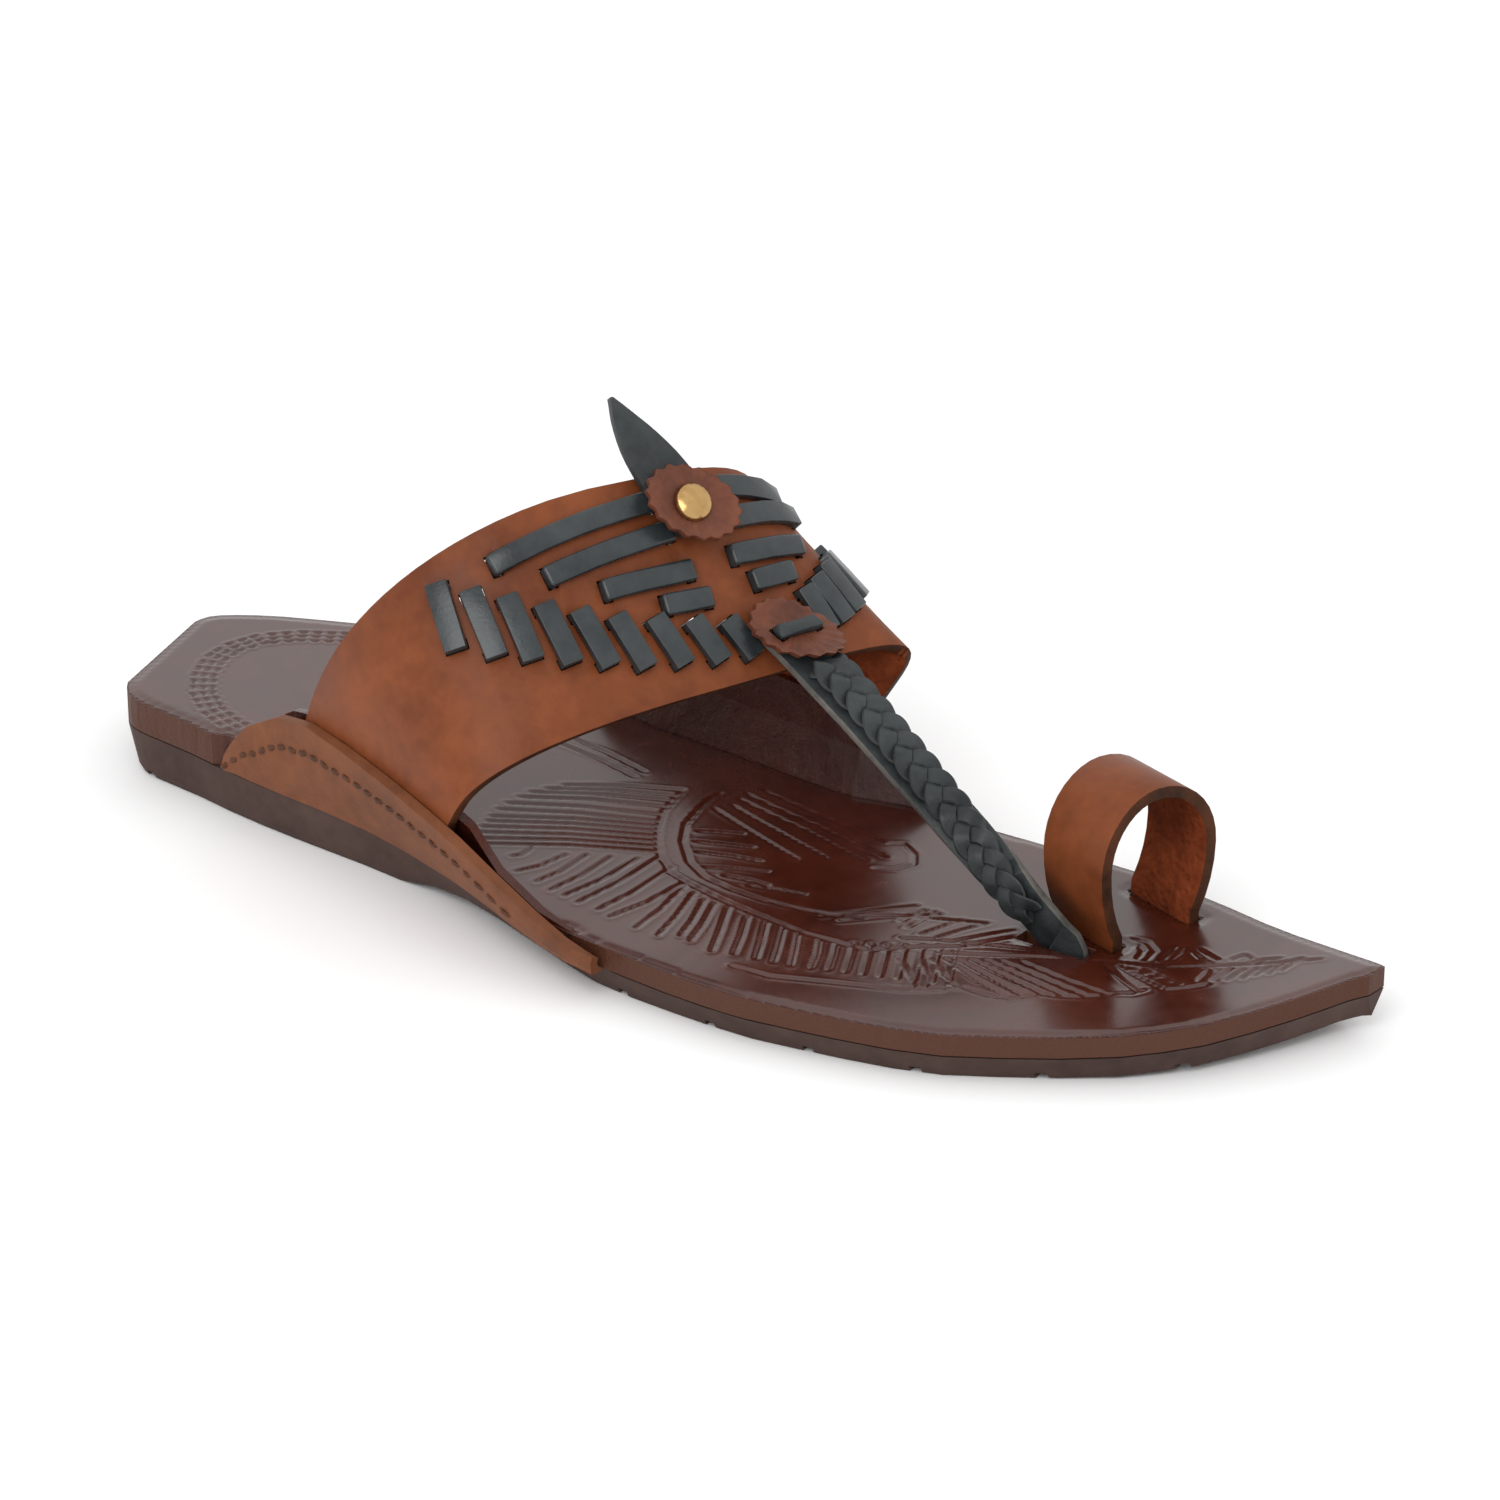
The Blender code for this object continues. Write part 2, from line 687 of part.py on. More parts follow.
def band_point(across, along):
    """Point of the band's outer face. across: 1 lateral foot, -1 medial foot; along: 0 rear."""
    lateral = band_foot(LATERAL, along)
    medial = band_foot(MEDIAL, along)
    crown = CROWN_REAR.lerp(CROWN_FRONT, along)
    column = 0 if across >= 0 else 1
    power = ARCH_REAR[column] + (ARCH_FRONT[column] - ARCH_REAR[column]) * along
    bulge = ARCH_REAR[column + 2] + (ARCH_FRONT[column + 2] - ARCH_REAR[column + 2]) * along
    reach = min(1.0, abs(across))
    rise = (1 - reach**power) ** (1 / power)
    middle = (lateral + medial) / 2
    point = middle + (lateral - medial) / 2 * across + (crown - middle) * rise
    point.y += (-1 if across >= 0 else 1) * 2 * bulge * (reach * rise) ** (power / 2)
    return point


def band_tangents(across, along):
    """Unit tangents toward the lateral side and toward the front, and the outward normal."""
    step = 0.01
    sideways = band_point(across + step, along) - band_point(across - step, along)
    forward = band_point(across, along + step) - band_point(across, along - step)
    normal = forward.cross(sideways).normalized()
    if normal.z < 0:
        normal = -normal
    return sideways.normalized(), forward.normalized(), normal


def band_tuck(ear, along, depth):
    """Point of the band's outer face below an ear's top, between the ear's two layers."""
    foot = band_foot(ear, along)
    middle = (band_foot(LATERAL, along) + band_foot(MEDIAL, along)) / 2
    lean = CROWN_REAR.lerp(CROWN_FRONT, along) - middle
    lean = Vector((lean.x, 0, lean.z)).normalized()
    x = foot.x - lean.x * depth
    return ear.point(x, ear.share(x, foot.z - lean.z * depth), GAP)


def band_place(u, v):
    """Grid place on the band: tucked ends, then the arch between."""
    column = u * BAND_COLUMNS
    for ear, steps in ((LATERAL, 2 - column), (MEDIAL, column - BAND_COLUMNS + 2)):
        if steps > 0.5:
            return band_tuck(ear, v, BAND_TUCK * round(steps) / 2)
    angle = math.pi * (column - 2) / (BAND_COLUMNS - 4)
    across = math.copysign(abs(math.cos(angle)) ** 0.75, math.cos(angle))
    if abs(math.cos(angle)) > 0.9999:
        return band_foot(LATERAL if across > 0 else MEDIAL, v)
    return band_point(across, v)


def lace_stop(across, along, lift):
    """Point on the lacing's middle line, lifted off the band's outer face."""
    normal = band_tangents(across, along)[2]
    return band_point(across, along) + normal * lift


OUT_LIFT = 2 * GAP + LACE_THICKNESS / 2
IN_LIFT = -(BAND_WALL + 4 * GAP + LACE_THICKNESS / 2)


def strip_sections(path, widths, width, thickness):
    """Sections of a flat strip along a path, mitred at its corners."""
    sections = []
    last = len(path) - 1
    for i, point in enumerate(path):
        before = (point - path[i - 1]).normalized() if i else None
        after = (path[i + 1] - point).normalized() if i < last else None
        if before is None or after is None:
            tangent = after or before
            stretch = 1.0
        else:
            tangent = (before + after).normalized()
            stretch = 1 / max(0.6, tangent.dot(after))
        side = (widths[i] - tangent * widths[i].dot(tangent)).normalized()
        face = tangent.cross(side) * thickness / 2 * stretch
        side = side * width / 2
        sections.append([point + side + face, point - side + face, point - side - face, point + side - face])
    return sections


def run_points(start, end, lift, count):
    """Stops along a run between two places on the band, without the last."""
    places = []
    for i in range(count):
        t = i / count
        place = (start[0] + (end[0] - start[0]) * t, start[1] + (end[1] - start[1]) * t)
        places.append((lace_stop(*place, lift), place))
    return places


def slit_width(start, end):
    """Direction of the slits at the ends of a bar, square to it in the band's face."""
    middle = ((start[0] + end[0]) / 2, (start[1] + end[1]) / 2)
    run = band_point(*end) - band_point(*start)
    return run.cross(band_tangents(*middle)[2]).normalized()


def add_slits(slits, ends, width_direction, width):
    """Openings through the band for the two ends of a bar."""
    for end in ends:
        normal = band_tangents(*end)[2]
        side = (width_direction - normal * width_direction.dot(normal)).normalized()
        centre = band_point(*end) - normal * BAND_WALL / 2
        axes = (side, normal.cross(side), normal)
        sizes = (width + 2 * SLIT_PLAY, LACE_THICKNESS + 2 * SLIT_PLAY, 2.4 * BAND_WALL)
        add_box(slits, centre, axes, sizes)


def toward(start, end, distance):
    """Place on the band at a distance from start toward end."""
    length = (band_point(*end) - band_point(*start)).length
    share = distance / length
    return (start[0] + (end[0] - start[0]) * share, start[1] + (end[1] - start[1]) * share)


def add_lace(bm, slits, bars):
    """One lacing thong: over each bar, through the band, and inside to the next bar."""
    path = []
    widths = []
    for index, (start, end) in enumerate(bars):
        direction = slit_width(start, end)
        if index == 0:
            tab = toward(start, end, LACE_TAB)
            path.append(lace_stop(*tab, IN_LIFT))
            widths.append(direction)
        length = (band_point(*end) - band_point(*start)).length
        count = max(2, round(length / LACE_STOP_STEP))
        path += [lace_stop(*start, IN_LIFT), lace_stop(*start, -BAND_WALL)]
        path += [point for point, place in run_points(start, end, OUT_LIFT, count)]
        path += [lace_stop(*end, lift) for lift in (OUT_LIFT, -BAND_WALL, IN_LIFT)]
        widths += [direction] * (count + 5)
        if index < len(bars) - 1:
            following = bars[index + 1]
            blend = (direction + slit_width(*following)).normalized()
            stops = run_points(end, following[0], IN_LIFT, 3)[1:]
            path += [point for point, place in stops]
            widths += [blend] * len(stops)
        else:
            path.append(lace_stop(*toward(end, start, LACE_TAB), IN_LIFT))
            widths.append(direction)
        add_slits(slits, (start, end), direction, LACE_WIDTH)
    add_loft(bm, strip_sections(path, widths, LACE_WIDTH, LACE_THICKNESS))


def make_lacing(slits):
    """Slanted bars of each side and the rows across the crown."""
    for name, table in (("lacing_lateral", LATERAL_BARS), ("lacing_medial", MEDIAL_BARS)):
        bm = bmesh.new()
        add_lace(bm, slits, [((row[0], row[1]), (row[2], row[3])) for row in table])
        finish_mesh(bm, name, BLACK_LEATHER)
    for number, row in enumerate(ROW_BARS, start=1):
        for side, first in (("lateral", 0), ("medial", 4)):
            bm = bmesh.new()
            add_lace(bm, slits, [(row[first:first + 2], row[first + 2:first + 4])])
            finish_mesh(bm, f"lacing_row_{number}_{side}", BLACK_LEATHER)


def add_rivet_hole(bm):
    """Round hole on the rivet's axis, through all that it holds."""
    normal = band_tangents(DECOR_ACROSS, DECOR_ALONG)[2]
    centre = band_point(DECOR_ACROSS, DECOR_ALONG)
    turn = normal.to_track_quat("Z", "Y").to_matrix().to_4x4()
    radius = RIVET_STEM_RADIUS + GAP
    bmesh.ops.create_cone(
        bm, cap_ends=True, segments=16, radius1=radius, radius2=radius, depth=8 * BAND_WALL,
        matrix=Matrix.Translation(centre) @ turn)


def make_band():
    """Instep band with its slits, and the lacing that runs through them."""
    band = sheet("instep_band", BAND_COLUMNS, BAND_ROWS, band_place, BAND_WALL, BAND_LEATHER)
    slits = bmesh.new()
    make_lacing(slits)
    add_rivet_hole(slits)
    add_boolean(band, finish_mesh(slits, "band_holes", None, CUTTERS), crossing=True)
    hole = bmesh.new()
    add_rivet_hole(hole)
    finish_mesh(hole, "rivet_hole", None, CUTTERS)
    return band


# Crown trim

def crown_point(across, along, forward, sideways, lift):
    """Point over the band's outer face, at distances forward and toward the lateral side."""
    step = 0.05
    per_across = (band_point(across + step, along) - band_point(across - step, along)).length / (2 * step)
    per_along = (band_point(across, along + step) - band_point(across, along - step)).length / (2 * step)
    target_along = along + forward / per_along
    clipped = min(1.0, max(0.0, target_along))
    target_across = across + sideways / per_across
    point = band_point(target_across, clipped)
    beyond = (target_along - clipped) * per_along
    tangents = band_tangents(target_across, min(0.95, max(0.05, clipped)))
    return point + tangents[1] * beyond + tangents[2] * lift


TAIL_LIFT = 3.5 * GAP + LACE_THICKNESS
TAIL_FRONT = 0.0062


def make_tail():
    """Pointed black strap end under the upper rosette, standing past the rear edge."""
    sections = []
    for step in range(2 * len(TAIL) - 1):
        row = TAIL[step // 2]
        following = TAIL[min(step // 2 + 1, len(TAIL) - 1)]
        place = (row[0] + following[0]) / 2 if step % 2 else row[0]
        half = TAIL_WIDTH * curve(TAIL, 1, place) / 2
        middle = TAIL_WIDTH * curve(TAIL, 2, place)
        lift = TAIL_LIFT + TAIL_WIDTH * curve(TAIL, 3, place)
        forward = TAIL_FRONT - TAIL_LENGTH * place
        loop = []
        for sideways, height in ((half, 0), (0, 0), (-half, 0), (-half, 1), (0, 1), (half, 1)):
            rise = lift + height * TAIL_THICKNESS
            loop.append(crown_point(DECOR_ACROSS, DECOR_ALONG, forward, middle + sideways, rise))
        sections.append(loop)
    tail = loft("tail", sections, BLACK_LEATHER)
    add_boolean(tail, bpy.data.objects["rivet_hole"])
    return tail


def make_rosette(name, across, along, radius, lift, shape):
    """Scalloped leather disc on the crown. shape(radius share, angle) lifts its face."""
    bm = bmesh.new()
    points = SCALLOPS * 2
    rings = (0.35, 0.72, 1.0)

    def place(share, angle, height):
        edge = radius + (SCALLOP_DEPTH * math.cos(SCALLOPS * angle) if share == 1.0 else 0.0)
        forward = share * edge * math.cos(angle)
        sideways = share * edge * math.sin(angle)
        rise = lift + shape(share, angle) + height
        return bm.verts.new(crown_point(across, along, forward, sideways, rise))

    loops = []
    for share, height in [(s, 0.0) for s in rings] + [(s, ROSETTE_THICKNESS) for s in reversed(rings)]:
        loops.append([place(share, 2 * math.pi * i / points, height) for i in range(points)])
    for loop, following in zip(loops, loops[1:]):
        for i in range(points):
            j = (i + 1) % points
            bm.faces.new((loop[i], loop[j], following[j], following[i]))
    bm.faces.new(loops[0])
    bm.faces.new(loops[-1])
    return finish_mesh(bm, name, ROSETTE_LEATHER)


def make_upper_rosette():
    """Cupped rosette under the rivet's head."""
    lift = TAIL_LIFT + TAIL_THICKNESS + GAP
    rosette = make_rosette(
        "rosette_upper", DECOR_ACROSS, DECOR_ALONG, UPPER_ROSETTE_RADIUS, lift,
        lambda share, angle: ROSETTE_CUP * share**2)
    add_boolean(rosette, bpy.data.objects["rivet_hole"])
    return rosette


def make_rivet():
    """Brass rivet: domed head, stem through all layers, flat end inside the band."""
    normal = band_tangents(DECOR_ACROSS, DECOR_ALONG)[2]
    centre = band_point(DECOR_ACROSS, DECOR_ALONG)
    base = TAIL_LIFT + TAIL_THICKNESS + ROSETTE_THICKNESS + 2 * GAP
    back = -(BAND_WALL + GAP)
    head = base + ROSETTE_CUP * 0.2
    rows = (
        (back - RIVET_BACK_THICKNESS, 0.0004),
        (back - RIVET_BACK_THICKNESS, RIVET_BACK_RADIUS),
        (back, RIVET_BACK_RADIUS),
        (back, RIVET_STEM_RADIUS),
        (head, RIVET_STEM_RADIUS),
        (head, RIVET_HEAD_RADIUS),
        (head + RIVET_HEAD_HEIGHT * 0.5, RIVET_HEAD_RADIUS * 0.93),
        (head + RIVET_HEAD_HEIGHT * 0.85, RIVET_HEAD_RADIUS * 0.62),
        (head + RIVET_HEAD_HEIGHT, 0.0004),
    )
    turn = normal.to_track_quat("Z", "Y").to_matrix()
    sections = []
    for height, radius in rows:
        ring = []
        for i in range(20):
            angle = 2 * math.pi * i / 20
            ring.append(centre + turn @ Vector((radius * math.cos(angle), radius * math.sin(angle), height)))
        sections.append(ring)
    return loft("rivet", sections, BRASS)


LOWER_ROSETTE_LIFT = THONG_THICKNESS + 2 * GAP


def strap_rise(forward):
    """Height of the thong's upper face over the band's plane, forward of the lower rosette."""
    place = (LOWER_ROSETTE_ACROSS, LOWER_ROSETTE_ALONG)
    centre = band_point(*place)
    tangents = band_tangents(*place)
    before = None
    for step in range(THONG_STEPS):
        point, width, face, half = thong_frame(step / THONG_STEPS)
        offset = point + face * THONG_THICKNESS / 2 - centre
        now = (offset.dot(tangents[1]), offset.dot(tangents[2]))
        if now[0] >= forward:
            if before is None:
                return now[1]
            share = (forward - before[0]) / (now[0] - before[0])
            return before[1] + (now[1] - before[1]) * share
        before = now
    return before[1]


def lower_rosette_shape(share, angle):
    """The lower rosette lies on the thong, and its front lip is folded up."""
    forward = share * math.cos(angle)
    rise = strap_rise(forward * LOWER_ROSETTE_RADIUS) + 3 * GAP - LOWER_ROSETTE_LIFT
    return max(0.0, rise) + ROSETTE_LIP * max(0.0, forward - 0.35) ** 2 / 0.42


def make_lower_rosette():
    """Rosette over the thong's upper end, with the short tie that holds it."""
    rosette = make_rosette(
        "rosette_lower", LOWER_ROSETTE_ACROSS, LOWER_ROSETTE_ALONG, LOWER_ROSETTE_RADIUS,
        LOWER_ROSETTE_LIFT, lower_rosette_shape)
    place = (LOWER_ROSETTE_ACROSS, LOWER_ROSETTE_ALONG)
    face = LOWER_ROSETTE_LIFT + lower_rosette_shape(0.0, 0.0) + ROSETTE_THICKNESS + GAP
    high = face + GAP + LACE_THICKNESS / 2
    low = face - ROSETTE_THICKNESS * 0.4
    half = TIE_LENGTH / 2
    stops = ((half, low), (half, high), (0, high), (-half, high), (-half, low))
    path = [crown_point(*place, 0, sideways, lift) for sideways, lift in stops]
    reach = TIE_WIDTH / (2 * LOWER_ROSETTE_RADIUS)
    front = crown_point(*place, TIE_WIDTH / 2, 0, lower_rosette_shape(reach, 0.0))
    rear = crown_point(*place, -TIE_WIDTH / 2, 0, lower_rosette_shape(reach, math.pi))
    forward = (front - rear).normalized()
    normal = forward.cross(path[3] - path[1]).normalized()
    normal *= math.copysign(1.0, normal.z)
    tie = loft("rosette_tie", strip_sections(path, [forward] * 5, TIE_WIDTH, LACE_THICKNESS), BLACK_LEATHER)
    bm = bmesh.new()
    for end in (half, -half):
        centre = crown_point(*place, 0, end, face)
        axes = (forward, normal.cross(forward), normal)
        sizes = (TIE_WIDTH + 2 * SLIT_PLAY, LACE_THICKNESS + 2 * SLIT_PLAY, 4 * ROSETTE_THICKNESS)
        add_box(bm, centre, axes, sizes)
    add_boolean(rosette, finish_mesh(bm, "tie_slits", None, CUTTERS))
    return tie


# Toe thong

def thong_ends():
    """Upper end on the band and lower end at the slot, on the strap's middle line."""
    start = crown_point(LOWER_ROSETTE_ACROSS, LOWER_ROSETTE_ALONG, -LOWER_ROSETTE_RADIUS * 0.35, 0,
                        GAP + THONG_THICKNESS / 2)
    return start, thong_bend(THONG_BEND)[0]


def thong_bend(angle):
    """Middle and width direction of the strap where it turns down about its rear lower corner."""
    half = THONG_WIDTH * THONG[-1][2] / 2
    width = Vector((-math.cos(angle), 0, -math.sin(angle)))
    low = insole_top(THONG_SLOT.x) - SLOT_SINK
    corner = Vector((THONG_SLOT.x - half, THONG_SLOT.y, low))
    return corner - width * half, width


def thong_frame(share):
    """Middle point, width direction, face direction and half width of the thong."""
    start, end = thong_ends()

    def at(t):
        point = start.lerp(end, t)
        point.z = end.z + (start.z - end.z) * curve(THONG, 1, t)
        return point

    step = 0.01
    tangent = (at(min(1.0, share + step)) - at(max(0.0, share - step))).normalized()
    crown_normal = band_tangents(LOWER_ROSETTE_ACROSS, LOWER_ROSETTE_ALONG)[2]
    upward = crown_normal.lerp(Vector((0, 0, 1)), smoothstep(0.05, 0.35, share))
    flat = tangent.cross(upward).normalized()
    up = flat.cross(tangent)
    twist = math.pi / 2 * curve(THONG, 3, share)
    width = flat * math.cos(twist) - up * math.sin(twist)
    face = up * math.cos(twist) + flat * math.sin(twist)
    return at(share), width, face, THONG_WIDTH * curve(THONG, 2, share) / 2


def make_thong_strap():
    """Flat strap from under the lower rosette, turned on edge where it enters its slot."""
    sections = []
    for i in range(THONG_STEPS + 1):
        point, width, face, half = thong_frame(i / THONG_STEPS)
        side = width * half
        rise = face * THONG_THICKNESS / 2
        sections.append([point + side + rise, point - side + rise, point - side - rise, point + side - rise])
    turns = [thong_bend(THONG_BEND * share) for share in (0.67, 0.33, 0.0)]
    centre, width = turns[-1]
    turns.append((Vector((centre.x, centre.y, rubber_top(centre.x) + 2 * GAP)), width))
    rise = Vector((0, -THONG_THICKNESS / 2, 0))
    for centre, width in turns:
        side = width * THONG_WIDTH * THONG[-1][2] / 2
        sections.append([centre + side + rise, centre - side + rise, centre - side - rise, centre + side - rise])
    return loft("thong_strap", sections, BLACK_LEATHER)


def make_thong_braid():
    """Plait on the strap, its strips raised left and right in turn."""
    sections = []
    count = BRAID_LENGTHS * BRAID_STEPS
    for i in range(count + 1):
        t = i / count
        share = BRAID_START + (BRAID_END - BRAID_START) * t
        point, width, face, half = thong_frame(share)
        half = half * BRAID_WIDTH / THONG_WIDTH
        taper = 1 - 0.35 * t
        height = BRAID_HEIGHT * taper
        base = point + face * (THONG_THICKNESS / 2 + 2 * GAP)
        wave = math.sin(math.pi * i / BRAID_STEPS)
        left = height * (0.78 + 0.22 * wave)
        right = height * (0.78 - 0.22 * wave)
        swell = 0.06 * abs(wave)
        loop = (
            (0.94 + swell, 0.0), (1.0 + swell, 0.35 * left), (0.62, left), (0.0, 0.72 * height),
            (-0.62, right), (-1.0 - swell, 0.35 * right), (-0.94 - swell, 0.0),
        )
        sections.append([base + width * half * side + face * rise for side, rise in loop])
    return loft("thong_braid", sections, BLACK_LEATHER)


# Toe ring

def ring_point(angle, along):
    """Point of the ring's outer face. angle: 0 far side, 180 near side; along: 0 rear."""
    axis = Vector((math.cos(RING_TURN), math.sin(RING_TURN)))
    across = Vector((-axis.y, axis.x))
    cosine = math.cos(angle)
    sine = math.sin(angle)
    sideways = cosine * (RING_FAR if cosine > 0 else RING_NEAR)
    height = RING_MIDDLE_HEIGHT + sine * (RING_RISE if sine > 0 else RING_DROP)
    place = RING_CENTRE + axis * RING_WIDTH * (along - 0.5) + across * sideways
    return Vector((place.x, place.y, height))


def ring_leg_angle():
    """Angle below the ring's widest place where its legs turn straight down."""
    drop = RING_MIDDLE_HEIGHT - insole_top(RING_CENTRE.x) - RING_LEG
    return math.asin(min(0.95, drop / RING_DROP))


def ring_place(u, v):
    """Grid place on the toe ring: legs in the insole, then the loop."""
    column = round(u * RING_COLUMNS)
    leg = ring_leg_angle()
    loops = RING_COLUMNS - 4
    share = min(1.0, max(0.0, (column - 2) / loops))
    point = ring_point(-leg + (math.pi + 2 * leg) * share, v)
    if column in (1, RING_COLUMNS - 1):
        point.z = (point.z + rubber_top(point.x) + 2 * GAP) / 2
    if column in (0, RING_COLUMNS):
        point.z = rubber_top(point.x) + 2 * GAP
    return point


def make_toe_ring():
    """Leather loop for the big toe, both legs let into the insole."""
    return sheet("toe_ring", RING_COLUMNS, 2, ring_place, RING_WALL, BAND_LEATHER)


def insole_slots():
    """Openings of the insole for the thong and the two legs of the ring."""
    cutters = []
    width = THONG_WIDTH * THONG[-1][2]
    centre = Vector((THONG_SLOT.x - SLOT_RUN_IN / 2, THONG_SLOT.y, insole_top(THONG_SLOT.x)))
    cutters.append(slot_cutter(
        "thong_slot", centre, Vector((1, 0)), width + SLOT_RUN_IN, THONG_THICKNESS + 6 * GAP,
        3 * INSOLE_HEEL))
    axis = Vector((math.cos(RING_TURN), math.sin(RING_TURN)))
    across = Vector((-axis.y, axis.x))
    leg = ring_leg_angle()
    for name, angle, inward in (("ring_slot_far", -leg, -1), ("ring_slot_near", math.pi + leg, 1)):
        place = ring_point(angle, 0.5)
        middle = Vector((place.x, place.y)) + across * inward * RING_WALL / 2
        centre = Vector((middle.x, middle.y, insole_top(middle.x)))
        cutters.append(slot_cutter(name, centre, axis, RING_WIDTH, RING_WALL + 2 * GAP, 3 * INSOLE_HEEL))
    return cutters


make_outsole()
make_insole()
for flap in EARS:
    make_ear(flap)
make_band()
make_tail()
make_upper_rosette()
make_rivet()
make_lower_rosette()
make_thong_strap()
make_thong_braid()
make_toe_ring()
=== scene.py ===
"""Kolhapuri chappal: leather, tooling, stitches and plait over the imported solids."""
import json
import math
import bmesh
import bpy
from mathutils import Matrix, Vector, kdtree
from mathutils.bvhtree import BVHTree

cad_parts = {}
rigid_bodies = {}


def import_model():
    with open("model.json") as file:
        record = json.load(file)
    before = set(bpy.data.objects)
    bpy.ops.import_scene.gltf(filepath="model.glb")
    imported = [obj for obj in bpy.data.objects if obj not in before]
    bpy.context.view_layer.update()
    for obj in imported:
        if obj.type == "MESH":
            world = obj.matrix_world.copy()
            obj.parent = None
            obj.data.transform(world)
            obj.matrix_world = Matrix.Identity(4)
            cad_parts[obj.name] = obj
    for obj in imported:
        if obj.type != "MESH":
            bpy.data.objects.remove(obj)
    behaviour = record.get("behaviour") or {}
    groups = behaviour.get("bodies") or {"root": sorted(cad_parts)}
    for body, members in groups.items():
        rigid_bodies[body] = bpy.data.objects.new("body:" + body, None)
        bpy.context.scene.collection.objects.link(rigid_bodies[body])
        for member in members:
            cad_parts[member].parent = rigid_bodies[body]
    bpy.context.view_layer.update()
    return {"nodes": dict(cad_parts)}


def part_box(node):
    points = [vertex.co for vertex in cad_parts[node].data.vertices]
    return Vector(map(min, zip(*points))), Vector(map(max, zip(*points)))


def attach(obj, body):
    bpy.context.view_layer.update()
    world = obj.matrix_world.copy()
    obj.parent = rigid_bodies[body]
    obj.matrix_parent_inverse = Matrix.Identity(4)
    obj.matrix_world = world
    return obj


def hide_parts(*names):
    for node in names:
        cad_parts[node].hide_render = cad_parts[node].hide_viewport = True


MM = 0.001

# Camera, solved from the sandal's own proportions in the photograph
CAMERA_TURN = math.radians(33.72261)
CAMERA_RISE = math.radians(25.74626)
CAMERA_TARGET = Vector((0.094866, 0.036368, 0.012))
CAMERA_DISTANCE = 1.150
LENS = 131.1107
SENSOR = 36.0

# Soft studio light and floor
SKY_STRENGTH = 1.0
KEY_PLACE = (0.35, -0.75, 0.75)
KEY_TARGET = (0.09, 0.0, 0.02)
KEY_SIZE = (0.6, 0.6)
KEY_POWER = 3.6
FLOOR_SIZE = 12.0
FLOOR_PLACE = (0.1, 0.0, -0.2 * MM)

# Walls of the solids that the scene's shells copy
BAND_WALL = 2.4 * MM
RING_WALL = 2.5 * MM
THONG_WALL = 1.7 * MM
RING_MIDDLE = Vector((0.1973, 0.0166, 0.0267))
FOOT_MIDDLE_HEIGHT = 0.012
MERGE_REACH = 0.01 * MM

# Rounding of cut leather
SHELL_ROUND = 0.4 * MM
LACE_ROUND = 0.7 * MM
LACE_SWELL = 0.44 * MM
TAIL_ROUND = 0.4 * MM
THIN_ROUND = 0.3 * MM
SHELL_ANGLE = 40
STRIP_ANGLE = 30
SHADE_ANGLE = 40

# Tooled face of the insole
TOOL_CELL = 0.52 * MM
FACE_LIFT = 0.34 * MM
FACE_LEAST_LIFT = 0.05 * MM
FACE_BORDER = 2.4 * MM
FACE_SKIRT = 0.15 * MM
FACE_LEVEL = 0.93
GROOVE_DEPTH = 0.62 * MM
GROOVE_FLAT = 0.08 * MM
GROOVE_REACH = 0.62 * MM
GROOVE_TAPER = 2.2 * MM
GROOVE_END = 0.35
GROOVE_MARGIN = 1.5 * MM
LINE_STEP = 0.22 * MM
SHOULDER_RISE = 0.12 * MM
SHOULDER_PLACE = 0.95 * MM
SHOULDER_WIDTH = 0.35 * MM
RAY_HEIGHT = 0.2
RAY_START = 0.02 * MM

